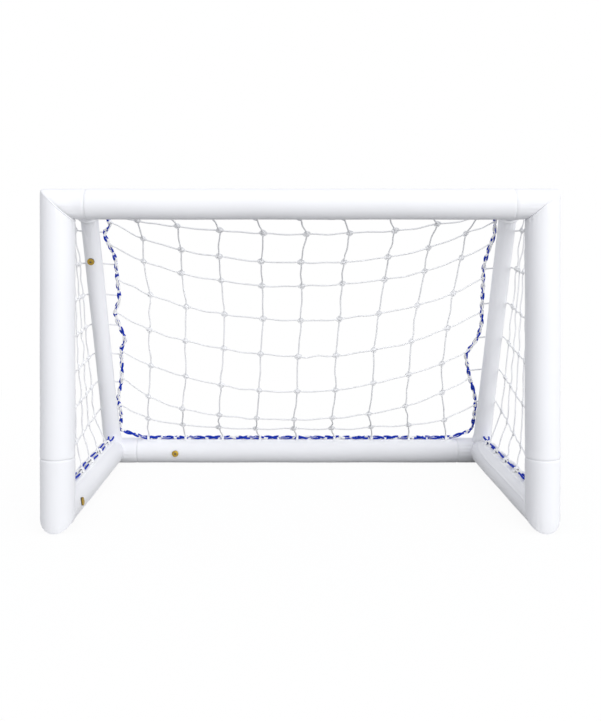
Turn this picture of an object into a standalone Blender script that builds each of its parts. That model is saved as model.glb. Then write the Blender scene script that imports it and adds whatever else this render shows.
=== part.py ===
"""Inflatable mini soccer goal: welded air tubes, a laced knotted net and three brass valves.

Metres, +Z up. The origin is on the floor in the middle of the footprint, the mouth faces -Y,
and +X is the right-hand post seen from the field. Each side frame is a post, a level top arm,
a sloping strut and a ground tube in one upright plane. The crossbar and the rear bar join them.
"""
import math

import bmesh
import bpy
import numpy as np
from mathutils import Vector

# Overall size of the blown-up frame
WIDTH = 1.200
HEIGHT = 0.787
DEPTH = 0.800

# Air tubes
POST_R = 0.0400
CROSSBAR_R = 0.0358
BASE_R = 0.0372
STRUT_R = 0.0237
SKIN = 0.0012
FLOOR_SINK = 0.0008
ARM_DROP = 0.0047
ARM_REACH = 0.352

# Weld seams between the lengths of tube
SEAM_GAP = 0.0003
SADDLE_GAP = 0.0009
CROSSBAR_SEAM_INSET = 0.066
REAR_SEAM_INSET = 0.075
POST_SEAM_Z = 0.166
FLARE_START_INSET = 0.045
HEEL_FLARE = 0.060
BAND_HALF = 0.0050
BAND_T = 0.0010

# Ropes and the strips with loops that hold them
ROPE_R = 0.0040
ROPE_STEP = 0.021
REAR_ROPE_STEP = 0.018
STRIP_T = 0.0010
STRIP_HALF = 0.0100
LOOP_WALL = 0.0012
LOOP_WIDTH = 0.0070
GROUND_LOOP_WIDTH = 0.0200
LOOP_PITCH = 0.120
LOOP_BENDS = 4
FIT = 0.0003
ROPE_END_INSET = 0.002
CROSSBAR_ROPE_PROUD = 0.014
CROSSBAR_STRIP_INSET = 0.024
REAR_STRIP_INSET = 0.015
GROUND_STRIP_START = 0.100
GROUND_STRIP_INSET = 0.0678
POST_STRIP_START_Z = 0.130
POST_STRIP_INSET = 0.0512
ARM_STRIP_START = 0.060
ARM_STRIP_INSET = 0.027
LOOP_MARGIN = 0.020
CROSSBAR_LACING_TURN = math.radians(-20)
REAR_LACING_TURN = math.radians(73)

# Net
MESH = 0.107
REAR_MESH = 0.1127
CORD_HALF = 0.0015
KNOT_HALF = 0.0058
MESHES_ACROSS = 10
SIDE_MESHES = 6
SIDE_PITCH = {-1: 0.0875, 1: 0.100}
SIDE_ROWS = {-1: 7, 1: 6}
SIDE_TOP_ROW_Z = 0.697
SIDE_DROOP = {-1: 0.04, 1: 0.15}
SIDE_FAN = 0.90
SIDE_LEAN_START_Z = 0.60
STRUT_CLEARANCE = 0.0060
SIDE_FAN_START_Z = 0.35
SIDE_LAST_SHARE = 0.4
SIDE_KNOT_INSET = 0.012
STRUT_WRAP_SHARE = 0.68
STRUT_WRAP_INSET = 0.008
SIDE_END_DROP = 0.004
CORD_SAG = 0.002

# Valves
STEM_R = 0.0050
STEM_END = -0.0085
FLANGE_R = 0.0100
FLANGE_UNDER = 0.0015
FLANGE_TOP = 0.0042
CAP_TOP = 0.0052
BORE_R = 0.0030
SEAT_R = 0.0014
SEAT_Z = -0.0065
SEAL_R = 0.0094
NUT_R = 0.0080
NUT_BOTTOM = -0.0062
CORE_CLEARANCE = 0.0004
CORE_SHAFT_R = 0.0010
CORE_BOTTOM = -0.0022
VALVE_SIDES = 16
KNURL = 0.0006
SEAL_BOTTOM = -0.0060
STRUT_VALVE_DROP = 0.121
STRUT_VALVE_TURN = math.radians(-6)
REAR_VALVE_X = -0.3675
REAR_VALVE_TURN = math.radians(-5)
GROUND_VALVE_BACK = 0.091
GROUND_VALVE_TURN = math.radians(8)

# Places that follow from the sizes above
SIDES = 24
GUIDE_SIDES = 48
TURN = (np.arange(SIDES) + 0.5) * math.tau / SIDES
X_AXIS, Y_AXIS, Z_AXIS = np.eye(3)
POST_X = WIDTH / 2 - POST_R
FRONT_Y = -DEPTH / 2 + POST_R
REAR_Y = DEPTH / 2 - BASE_R
CROSSBAR_Z = HEIGHT - CROSSBAR_R
BASE_Z = BASE_R - FLOOR_SINK
ARM_Z = CROSSBAR_Z - ARM_DROP
CROSSBAR_SEAM_X = POST_X - CROSSBAR_SEAM_INSET
REAR_SEAM_X = POST_X - REAR_SEAM_INSET
CORNER = np.array((POST_X, FRONT_Y, CROSSBAR_Z))
CORNER_NORMAL = np.array((-CROSSBAR_R, 0.0, POST_R)) / math.hypot(CROSSBAR_R, POST_R)
HEEL = np.array((POST_X, FRONT_Y, BASE_Z))
HEEL_NORMAL = np.array((0.0, -BASE_R, POST_R)) / math.hypot(BASE_R, POST_R)
REAR_CORNER = np.array((POST_X, REAR_Y, BASE_Z))
REAR_NORMAL = np.array((1.0, -1.0, 0.0)) / math.sqrt(2)
ELBOW = np.array((POST_X, FRONT_Y + ARM_REACH, ARM_Z))
STRUT_RUN = (REAR_CORNER - ELBOW) / np.linalg.norm(REAR_CORNER - ELBOW)
STRUT_UP = np.cross(X_AXIS, STRUT_RUN)
ELBOW_NORMAL = (Y_AXIS + STRUT_RUN) / np.linalg.norm(Y_AXIS + STRUT_RUN)
STRIP_INNER = SEAM_GAP
ROPE_OFFSET = STRIP_INNER + STRIP_T + FIT + ROPE_R
LOOP_INNER = (ROPE_R + FIT) / math.cos(math.pi / LOOP_BENDS / 2)
LOOP_OUTER = LOOP_INNER + LOOP_WALL

# Corner ropes: inset from the side frame's plane, distance behind the front plane, height
LEFT_ROPE = [
    (0.065, 0.043, 0.737), (0.045, 0.060, 0.745), (0.0295, 0.100, 0.7465),
    (0.0285, 0.180, 0.7465), (0.0285, 0.270, 0.7465), (0.035, 0.345, 0.741),
    (0.049, 0.383, 0.725), (0.048, 0.391, 0.710), (0.033, 0.401, 0.690),
    (0.041, 0.415, 0.664), (0.055, 0.437, 0.623), (0.056, 0.469, 0.562),
    (0.056, 0.498, 0.506), (0.041, 0.518, 0.467), (0.055, 0.545, 0.415),
    (0.062, 0.560, 0.387), (0.049, 0.575, 0.358), (0.046, 0.600, 0.312),
    (0.041, 0.624, 0.264), (0.027, 0.655, 0.206), (0.03, 0.684, 0.150),
    (0.022, 0.708, 0.104),
]
RIGHT_ROPE = [
    (0.065, 0.043, 0.737), (0.045, 0.060, 0.745), (0.0295, 0.100, 0.7465),
    (0.0285, 0.180, 0.7465), (0.0285, 0.270, 0.7465), (0.031, 0.345, 0.742),
    (0.029, 0.385, 0.722), (0.027, 0.403, 0.687), (0.039, 0.427, 0.641),
    (0.046, 0.450, 0.597), (0.043, 0.475, 0.549), (0.039, 0.514, 0.474),
    (0.036, 0.536, 0.432), (0.047, 0.560, 0.386), (0.07, 0.582, 0.345),
    (0.065, 0.598, 0.314), (0.054, 0.620, 0.272), (0.034, 0.649, 0.216),
    (0.028, 0.670, 0.175), (0.03, 0.706, 0.107),
]

# Shifts of the hanging rows' knots from an even grid, left to right: across and up
KNOT_SHIFTS = [
    ((.014, .012, .014, .017, .019, .020, .028, .030, .031),
     (-.004, -.001, 0, 0, 0, 0, -.001, .004, .005)),
    ((.001, .002, -.003, 0, -.004, 0, .009, .011, .011),
     (-.006, -.005, -.001, -.002, 0, -.004, -.003, 0, .007)),
    ((.001, .001, .003, .005, .005, .006, .013, .015, .013),
     (-.006, -.005, -.002, -.003, 0, .003, .001, 0, .003)),
    ((.006, .007, .007, .006, .001, -.001, 0, .001, .002),
     (-.003, -.003, 0, .001, 0, 0, .002, .001, .001)),
    ((.005, .005, .007, .002, -.002, -.005, -.007, -.007, -.006),
     (-.005, 0, .004, .003, 0, -.001, 0, -.001, 0)),
    ((.006, .010, .007, .007, .006, .005, .005, .002, .002),
     (-.004, -.002, -.003, -.003, 0, -.002, .003, .003, .002)),
    ((-.006, -.006, -.004, -.004, -.005, -.003, -.006, -.005, .004),
     (-.006, -.006, -.001, .001, 0, .002, .002, .002, .006)),
    ((-.014, -.016, -.017, -.016, -.011, -.007, .002, .007, .008),
     (0, .002, .002, 0, 0, .001, .003, .001, -.004)),
]

# Rear rope: where it lies on its strip, with its lift there, and its free ends' insets and rises
REAR_ROPE_LAID = [(0.004, 0.0015), (0.035, 0.0), (0.10, 0.0)]
REAR_ROPE_FRONT = 0.0148
REAR_ROPE_ENDS = {-1: [(0.033, 0.0611), (0.063, 0.0521)], 1: [(0.041, 0.0601), (0.063, 0.0521)]}

# Rows of the back net, top to bottom: edge height, middle's distance back, middle's height,
# and how sharply the row lifts towards its ends
BACK_ROWS = [
    (None, 0.112, 0.7235, 2.0), (None, 0.194, 0.6857, 2.0), (0.7225, 0.270, 0.6146, 2.1),
    (0.6646, 0.351, 0.5493, 2.1), (0.5675, 0.397, 0.4545, 2.1), (0.4706, 0.425, 0.3535, 2.1),
    (0.3546, 0.457, 0.2534, 1.9), (0.2706, 0.516, 0.1655, 2.4), (0.1840, 0.612, 0.1220, 4.0),
]
ROOF_EDGE_REACH = (0.150, 0.265)

WHITE_SKIN = ("white_air_skin", (0.90, 0.91, 0.93), 0.35, 0.0)
WHITE_TAPE = ("white_weld_tape", (0.86, 0.87, 0.90), 0.50, 0.0)
NET_CORD = ("white_net_cord", (0.84, 0.84, 0.83), 0.75, 0.0)
BLUE_ROPE = ("blue_white_rope", (0.12, 0.22, 0.66), 0.70, 0.0)
BRASS = ("valve_brass", (0.60, 0.48, 0.16), 0.35, 1.0)
RUBBER = ("valve_rubber", (0.07, 0.07, 0.08), 0.80, 0.0)
CORE_METAL = ("valve_core_metal", (0.30, 0.29, 0.28), 0.45, 1.0)
SMOOTH_ANGLE = math.radians(35)


def finish_material(finish):
    """The material of one finish, made once."""
    name, colour, roughness, metallic = finish
    material = bpy.data.materials.get(name)
    if material is None:
        material = bpy.data.materials.new(name)
        material.use_nodes = True
        shader = material.node_tree.nodes["Principled BSDF"]
        shader.inputs["Base Color"].default_value = (*colour, 1.0)
        shader.inputs["Roughness"].default_value = roughness
        shader.inputs["Metallic"].default_value = metallic
    return material


def solid(name, points, faces, finish):
    """One closed body from points and faces, faces turned outward and shaded smooth."""
    mesh = bpy.data.meshes.new(name)
    mesh.from_pydata([tuple(p) for p in points], [], faces)
    shape = bmesh.new()
    shape.from_mesh(mesh)
    bmesh.ops.recalc_face_normals(shape, faces=shape.faces)
    shape.to_mesh(mesh)
    shape.free()
    mesh.shade_smooth()
    mesh.set_sharp_from_angle(angle=SMOOTH_ANGLE)
    mesh.materials.append(finish_material(finish))
    obj = bpy.data.objects.new(name, mesh)
    bpy.context.scene.collection.objects.link(obj)
    return obj


def boolean(obj, cutter, operation):
    """Keep a Boolean of obj with a cutter that is itself left out of the model."""
    cutter.hide_render = True
    cutter.display_type = "WIRE"
    step = obj.modifiers.new(cutter.name, "BOOLEAN")
    step.operation = operation
    step.solver = "EXACT"
    step.object = cutter


def side_name(stem, side):
    return f"{stem}_{'left' if side < 0 else 'right'}"


def to_side(points, side):
    """Points worked out for the right-hand side, mirrored where the side is the left one."""
    return np.asarray(points) * (side, 1.0, 1.0)


def circle(centre, across, up, radius_across, radius_up):
    """A ring of points round centre in the plane of the two directions."""
    return (np.asarray(centre) + np.outer(np.cos(TURN) * radius_across, across)
            + np.outer(np.sin(TURN) * radius_up, up))


def slide(ring, along, point, normal):
    """Every point of a ring moved along one direction onto a plane."""
    shift = (point - ring) @ normal / (along @ normal)
    return ring + np.outer(shift, along)


def on_floor(ring, inset):
    """A ring pressed flat where it would reach below the floor."""
    ring = ring.copy()
    ring[:, 2] = np.maximum(ring[:, 2], inset)
    return ring


def ring_wall(outer, inner):
    """Points and faces of a hollow tube with open ends, from outer and inner rings."""
    rings = outer + inner[::-1]
    count, sides = len(rings), len(rings[0])
    faces = []
    for ring in range(count):
        here, there = ring * sides, (ring + 1) % count * sides
        for s in range(sides):
            t = (s + 1) % sides
            faces.append((here + s, here + t, there + t, there + s))
    return np.concatenate(rings), faces


def skin(name, rings, side=1, finish=WHITE_SKIN, outer_inset=0.0, inner_inset=SKIN):
    """A length of air tube whose rings function gives its rings at an inset."""
    points, faces = ring_wall(rings(outer_inset), rings(inner_inset))
    return solid(name, to_side(points, side), faces, finish)


def crossbar_rings(inset):
    """The crossbar's level middle length between its two ring seams."""
    radius = CROSSBAR_R - inset
    reach = CROSSBAR_SEAM_X - SEAM_GAP / 2
    return [circle((x, FRONT_Y, CROSSBAR_Z), Y_AXIS, Z_AXIS, radius, radius)
            for x in (-reach, reach)]


def stub_rings(inset):
    """The crossbar's end piece, which widens to the post's depth at the mitre."""
    radius = CROSSBAR_R - inset
    starts = [circle((x, FRONT_Y, CROSSBAR_Z), Y_AXIS, Z_AXIS, radius, radius)
              for x in (CROSSBAR_SEAM_X + SEAM_GAP / 2, POST_X - FLARE_START_INSET)]
    end = circle(CORNER, Y_AXIS, Z_AXIS, POST_R - inset, radius)
    return starts + [slide(end, X_AXIS, CORNER + CORNER_NORMAL * SEAM_GAP / 2, CORNER_NORMAL)]


def post_rings(inset):
    """A post from its ring seam to the mitre under the crossbar's end."""
    radius = POST_R - inset
    foot = circle((POST_X, FRONT_Y, POST_SEAM_Z + SEAM_GAP / 2), Y_AXIS, X_AXIS, radius, radius)
    top = circle(CORNER, Y_AXIS, X_AXIS, radius, radius)
    return [foot, slide(top, Z_AXIS, CORNER - CORNER_NORMAL * SEAM_GAP / 2, CORNER_NORMAL)]


def post_foot_rings(inset):
    """A post's lower length, mitred to the ground tube at the heel."""
    radius = POST_R - inset
    heel = slide(circle(HEEL, X_AXIS, Y_AXIS, radius, radius), Z_AXIS,
                 HEEL + HEEL_NORMAL * SEAM_GAP / 2, HEEL_NORMAL)
    top = circle((POST_X, FRONT_Y, POST_SEAM_Z - SEAM_GAP / 2), X_AXIS, Y_AXIS, radius, radius)
    return [on_floor(heel, inset), top]


def ground_rings(inset):
    """A ground tube from the heel's mitre to the rear corner's mitre."""
    radius = BASE_R - inset
    heel = on_floor(circle(HEEL, X_AXIS, Z_AXIS, POST_R - inset, radius), inset)
    run = on_floor(circle(HEEL + Y_AXIS * HEEL_FLARE, X_AXIS, Z_AXIS, radius, radius), inset)
    rear = on_floor(circle(REAR_CORNER, X_AXIS, Z_AXIS, radius, radius), inset)
    return [slide(heel, Y_AXIS, HEEL - HEEL_NORMAL * SEAM_GAP / 2, HEEL_NORMAL), run,
            slide(rear, Y_AXIS, REAR_CORNER + REAR_NORMAL * SEAM_GAP / 2, REAR_NORMAL)]


def rear_stub_rings(inset):
    """The rear bar's end piece, mitred to the ground tube."""
    radius = BASE_R - inset
    seam = circle((REAR_SEAM_X + SEAM_GAP / 2, REAR_Y, BASE_Z), Y_AXIS, Z_AXIS, radius, radius)
    end = on_floor(circle(REAR_CORNER, Y_AXIS, Z_AXIS, radius, radius), inset)
    return [on_floor(seam, inset),
            slide(end, X_AXIS, REAR_CORNER - REAR_NORMAL * SEAM_GAP / 2, REAR_NORMAL)]


def rear_bar_rings(inset):
    """The rear bar's middle length between its two ring seams."""
    radius = BASE_R - inset
    reach = REAR_SEAM_X - SEAM_GAP / 2
    return [on_floor(circle((x, REAR_Y, BASE_Z), Y_AXIS, Z_AXIS, radius, radius), inset)
            for x in (-reach, reach)]


def corner_back(x, z):
    """How far back the mitred upper corner reaches at a place seen from behind."""
    if z < CROSSBAR_Z + (x - POST_X) * CROSSBAR_R / POST_R:
        return FRONT_Y + math.sqrt(POST_R ** 2 - (x - POST_X) ** 2)
    lift = (z - CROSSBAR_Z) / CROSSBAR_R
    start = POST_X - FLARE_START_INSET
    share = min(max((x - start) / (POST_X + POST_R * lift - start), 0.0), 1.0)
    return FRONT_Y + (CROSSBAR_R + (POST_R - CROSSBAR_R) * share) * math.sqrt(1 - lift ** 2)


def arm_rings(inset):
    """A top arm from the upper corner's back to the elbow."""
    radius = STRUT_R - inset
    root = circle((POST_X, 0.0, ARM_Z), X_AXIS, Z_AXIS, radius, radius)
    root[:, 1] = [corner_back(x, z) + SADDLE_GAP for x, _, z in root]
    end = circle(ELBOW, X_AXIS, Z_AXIS, radius, radius)
    return [root, slide(end, Y_AXIS, ELBOW - ELBOW_NORMAL * SEAM_GAP / 2, ELBOW_NORMAL)]


def foot_hit(point):
    """Where a line along the strut meets the mitred rear corner, a seam's gap above it."""
    reach = BASE_R + SADDLE_GAP
    out = point[0] - POST_X
    fall = (BASE_Z + math.sqrt(reach ** 2 - out ** 2) - point[2]) / STRUT_RUN[2]
    hit = point + STRUT_RUN * fall
    if hit[1] - REAR_Y < out:
        return hit
    away = point[1:] - REAR_CORNER[1:]
    run = STRUT_RUN[1:]
    half = away @ run
    return point + STRUT_RUN * (-half - math.sqrt(half ** 2 - away @ away + reach ** 2))


def strut_rings(inset):
    """A sloping strut from the elbow to the top of the rear corner."""
    radius = STRUT_R - inset
    top = slide(circle(ELBOW, X_AXIS, STRUT_UP, radius, radius), STRUT_RUN,
                ELBOW + ELBOW_NORMAL * SEAM_GAP / 2, ELBOW_NORMAL)
    foot = circle(REAR_CORNER, X_AXIS, STRUT_UP, radius, radius)
    return [top, np.array([foot_hit(point) for point in foot])]


def elbow_band_rings(inset):
    """The weld band round an elbow's mitre."""
    radius = STRUT_R - inset
    arm = circle(ELBOW, X_AXIS, Z_AXIS, radius, radius)
    strut = circle(ELBOW, X_AXIS, STRUT_UP, radius, radius)
    return [slide(arm, Y_AXIS, ELBOW - ELBOW_NORMAL * BAND_HALF, ELBOW_NORMAL),
            slide(arm, Y_AXIS, ELBOW, ELBOW_NORMAL),
            slide(strut, STRUT_RUN, ELBOW + ELBOW_NORMAL * BAND_HALF, ELBOW_NORMAL)]


def build_frame():
    """All the air tubes; returns those that carry a valve."""
    skin("crossbar", crossbar_rings)
    rear_bar = skin("rear_bar", rear_bar_rings)
    carriers = {"rear_bar": rear_bar}
    for side in (-1, 1):
        skin(side_name("crossbar_stub", side), stub_rings, side)
        skin(side_name("post", side), post_rings, side)
        skin(side_name("post_foot", side), post_foot_rings, side)
        ground = skin(side_name("ground_tube", side), ground_rings, side)
        skin(side_name("rear_stub", side), rear_stub_rings, side)
        skin(side_name("top_arm", side), arm_rings, side)
        strut = skin(side_name("strut", side), strut_rings, side)
        skin(side_name("elbow_band", side), elbow_band_rings, side, WHITE_TAPE,
             -SEAM_GAP - BAND_T, -SEAM_GAP)
        carriers.update({ground.name: ground, strut.name: strut})
    return carriers


class Lacing:
    """A welded strip on a tube, its rope and the loops that hold the rope down."""

    def __init__(self, name, start, end, outward, tube_radius, side=1):
        self.name = name
        self.start = to_side(start, side)
        self.length = np.linalg.norm(np.asarray(end) - start)
        self.along = to_side(np.asarray(end) - start, side) / self.length
        self.outward = to_side(outward, side)
        self.lateral = np.cross(self.along, self.outward)
        self.tube_radius = tube_radius

    def at(self, distance, height=0.0, sideways=0.0):
        """A point on the strip: along it, above the tube's surface, and to its side."""
        return (self.start + self.along * distance + self.lateral * sideways
                + self.outward * (self.tube_radius + height))

    def column_loops(self, mesh):
        """Loops at the net's columns, as many as fit on the strip."""
        reach = int((self.length / 2 - LOOP_WIDTH) / mesh)
        return [self.length / 2 + mesh * k for k in range(-reach, reach + 1)]

    def loop_places(self, pitch, margin):
        """Evenly spaced loops, centred on the strip."""
        count = int((self.length - 2 * margin) / pitch) + 1
        first = (self.length - (count - 1) * pitch) / 2
        return [first + pitch * step for step in range(count)]

    def build(self, places, width=LOOP_WIDTH):
        """The strip and its loops, of a width along the rope, as one body."""
        half = STRIP_HALF / self.tube_radius
        angles = np.linspace(-half, half, 5)

        def arc(radius, distance):
            return [self.start + self.along * distance
                    + (self.outward * math.cos(a) + self.lateral * math.sin(a)) * radius
                    for a in angles]

        low, high = self.tube_radius + STRIP_INNER, self.tube_radius + STRIP_INNER + STRIP_T
        rings = [np.array(arc(low, d) + arc(high, d)[::-1]) for d in (0.0, self.length)]
        points, faces = capped(rings)
        strip = solid(self.name, points, faces, WHITE_TAPE)
        points, faces = [], []
        for place in places:
            more, walls = self.loop(place, width)
            faces += [tuple(index + len(points) for index in wall) for wall in walls]
            points += list(more)
        boolean(strip, solid(f"{self.name}_loops", points, faces, WHITE_TAPE), "UNION")

    def loop(self, place, width):
        """One belt loop: two legs and a half round over the rope."""
        centre = ROPE_OFFSET
        sink = ROPE_R + FIT + STRIP_T * 0.8
        bend = [math.pi * step / LOOP_BENDS for step in range(LOOP_BENDS + 1)]
        outer, inner = LOOP_OUTER, LOOP_INNER
        outline = [(outer, -sink)] + [(outer * math.cos(a), outer * math.sin(a)) for a in bend]
        outline += [(-outer, -sink), (-inner, -sink)]
        outline += [(-inner * math.cos(a), inner * math.sin(a)) for a in bend] + [(inner, -sink)]
        rings = [np.array([self.at(place + end * width / 2, centre + high, wide)
                           for wide, high in outline]) for end in (-1, 1)]
        return capped(rings)


def capped(rings):
    """Points and faces of a closed bar between two flat rings."""
    sides = len(rings[0])
    faces = [(s, (s + 1) % sides, sides + (s + 1) % sides, sides + s) for s in range(sides)]
    faces += [tuple(range(sides)), tuple(range(sides, 2 * sides))]
    return np.concatenate(rings), faces


def smooth_route(route, step):
    """Points at an even step along a smooth curve through the route's own points."""
    route = np.asarray(route, float)
    ends = [2 * route[0] - route[1], *route, 2 * route[-1] - route[-2]]
    fine = []
    for a, b, c, d in zip(ends, ends[1:], ends[2:], ends[3:]):
        for t in np.linspace(0.0, 1.0, 12, endpoint=False):
            fine.append(0.5 * (2 * b + (c - a) * t + (2 * a - 5 * b + 4 * c - d) * t ** 2
                               + (3 * b - a - 3 * c + d) * t ** 3))
    fine = np.array(fine + [route[-1]])
    travelled = np.append(0.0, np.cumsum(np.linalg.norm(np.diff(fine, axis=0), axis=1)))
    wanted = np.linspace(0.0, travelled[-1], max(2, round(travelled[-1] / step) + 1))
    return np.column_stack([np.interp(wanted, travelled, fine[:, axis]) for axis in range(3)])


def rope(name, route, step):
    """A round rope along a smooth route, with closed ends."""
    points = smooth_route(route, step)
    curve = bpy.data.curves.new(name, "CURVE")
    curve.dimensions = "3D"
    curve.bevel_depth = ROPE_R
    curve.bevel_resolution = 2
    curve.use_fill_caps = True
    spline = curve.splines.new("POLY")
    spline.points.add(len(points) - 1)
    for point, place in zip(spline.points, points):
        point.co = (*place, 1.0)
    curve.materials.append(finish_material(BLUE_ROPE))
    obj = bpy.data.objects.new(name, curve)
    bpy.context.scene.collection.objects.link(obj)


def corner_route(side):
    """A corner rope's route in space."""
    chosen = LEFT_ROPE if side < 0 else RIGHT_ROPE
    return np.array([(side * (POST_X - inset), FRONT_Y + back, z) for inset, back, z in chosen])


def build_lacing():
    """Strips with loops, and the straight ropes through them, on every laced tube."""
    crossbar_out = Y_AXIS * math.cos(CROSSBAR_LACING_TURN) + Z_AXIS * math.sin(CROSSBAR_LACING_TURN)
    rear_out = -Y_AXIS * math.cos(REAR_LACING_TURN) + Z_AXIS * math.sin(REAR_LACING_TURN)
    reach = CROSSBAR_SEAM_X - CROSSBAR_STRIP_INSET
    crossbar = Lacing("crossbar_strip", (-reach, FRONT_Y, CROSSBAR_Z),
                      (reach, FRONT_Y, CROSSBAR_Z), crossbar_out, CROSSBAR_R)
    crossbar.build(crossbar.column_loops(MESH))
    rope("crossbar_rope", [
        crossbar.at(-CROSSBAR_ROPE_PROUD, ROPE_OFFSET),
        crossbar.at(crossbar.length + CROSSBAR_ROPE_PROUD, ROPE_OFFSET)], LOOP_PITCH)
    reach = REAR_SEAM_X - REAR_STRIP_INSET
    rear = Lacing("rear_strip", (-reach, REAR_Y, BASE_Z), (reach, REAR_Y, BASE_Z), rear_out, BASE_R)
    rear.build(rear.column_loops(REAR_MESH))
    laid = [rear.at(place, ROPE_OFFSET + lift) for place, lift in REAR_ROPE_LAID]
    laid += [rear.at(rear.length - place, ROPE_OFFSET + lift)
             for place, lift in REAR_ROPE_LAID[::-1]]
    free = {side: [(side * (POST_X - inset), REAR_Y - REAR_ROPE_FRONT, BASE_Z + rise)
                   for inset, rise in REAR_ROPE_ENDS[side]] for side in (-1, 1)}
    rope("rear_rope", free[-1] + laid + free[1][::-1], REAR_ROPE_STEP)
    places = {"crossbar": crossbar, "rear": rear}
    for side in (-1, 1):
        runs = {
            "ground": ((POST_X, FRONT_Y + GROUND_STRIP_START, BASE_Z),
                       (POST_X, REAR_Y - GROUND_STRIP_INSET, BASE_Z), Z_AXIS, BASE_R),
            "post": ((POST_X, FRONT_Y, POST_STRIP_START_Z),
                     (POST_X, FRONT_Y, CROSSBAR_Z - POST_STRIP_INSET), Y_AXIS, POST_R),
            "arm": ((POST_X, FRONT_Y + ARM_STRIP_START, ARM_Z),
                    (POST_X, ELBOW[1] - ARM_STRIP_INSET, ARM_Z), X_AXIS, STRUT_R),
        }
        for stem, (start, end, outward, radius) in runs.items():
            lacing = Lacing(side_name(f"{stem}_strip", side), start, end, outward, radius, side)
            lacing.build(lacing.loop_places(LOOP_PITCH, LOOP_MARGIN),
                         GROUND_LOOP_WIDTH if stem == "ground" else LOOP_WIDTH)
            rope(side_name(f"{stem}_rope", side),
                 [lacing.at(ROPE_END_INSET, ROPE_OFFSET),
                  lacing.at(lacing.length - ROPE_END_INSET, ROPE_OFFSET)], LOOP_PITCH)
            places[side_name(stem, side)] = lacing
        rope(side_name("corner_rope", side), corner_route(side), ROPE_STEP)
    return places


class Net:
    """A knotted net: knots joined by square cords, with open meshes between them."""

    def __init__(self, name):
        self.name = name
        self.points = []
        self.faces = []

    def add(self, ring):
        """Four points of a cord's cross-section; returns their indices."""
        first = len(self.points)
        self.points += list(ring)
        return tuple(range(first, first + 4))

    def section(self, centre, wide, deep):
        """A cord's cross-section at a place: its width and its thickness directions."""
        w, d = wide * CORD_HALF, deep * CORD_HALF
        return [centre - w + d, centre + w + d, centre + w - d, centre - w - d]

    def knot(self, centre, across, down):
        """An eight-sided knot; returns its four cord ports."""
        deep = unit(np.cross(across, down))
        down = np.cross(deep, across)
        ports = {}
        for key, reach, wide in (("e", across, down), ("w", -across, down),
                                 ("s", down, across), ("n", -down, across)):
            ports[key] = self.add(self.section(centre + reach * KNOT_HALF, wide, deep))
        e, w, s, n = (ports[key] for key in "ewsn")
        self.faces.append((e[0], e[1], s[1], s[0], w[1], w[0], n[0], n[1]))
        self.faces.append((e[3], n[2], n[3], w[3], w[2], s[3], s[2], e[2]))
        for a, b in (((e[1], e[2]), (s[1], s[2])), ((s[0], s[3]), (w[1], w[2])),
                     ((w[0], w[3]), (n[0], n[3])), ((n[1], n[2]), (e[0], e[3]))):
            self.faces.append((a[0], a[1], b[1], b[0]))
        return ports

    def cord(self, start, end, middles=()):
        """Walls between two cross-sections, through any middle ones."""
        chain = [start, *[self.add(ring) for ring in middles], end]
        for here, there in zip(chain, chain[1:]):
            for s in range(4):
                t = (s + 1) % 4
                self.faces.append((here[s], here[t], there[t], there[s]))

    def end(self, knot_place, border, wide, reach):
        """A closed cord end that stops a reach away from the middle line of its rope.

        border is the place on the rope and the rope's direction there.
        """
        rope_middle, rope_along = border
        toward = unit(knot_place - rope_middle)
        wide = unit(wide)
        deep = unit(np.cross(wide, toward))
        distance = reach
        while True:
            ring = np.array(self.section(rope_middle + toward * distance, wide, deep))
            away = ring - rope_middle
            away -= np.outer(away @ rope_along, rope_along)
            if np.linalg.norm(away, axis=1).min() >= reach:
                break
            distance += FIT / 2
        corners = self.add(ring)
        self.faces.append(corners)
        return corners

    def build(self):
        """The net as one body."""
        return solid(self.name, self.points, self.faces, NET_CORD)


def unit(vector):
    return vector / np.linalg.norm(vector)


def slack(a, b, wide, deep_from, sag):
    """A middle place of a cord, a little below the straight line."""
    centre = (a + b) / 2 - Z_AXIS * sag
    deep = unit(np.cross(wide, b - a))
    if deep @ deep_from < 0:
        deep = -deep
    return centre, deep


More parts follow.
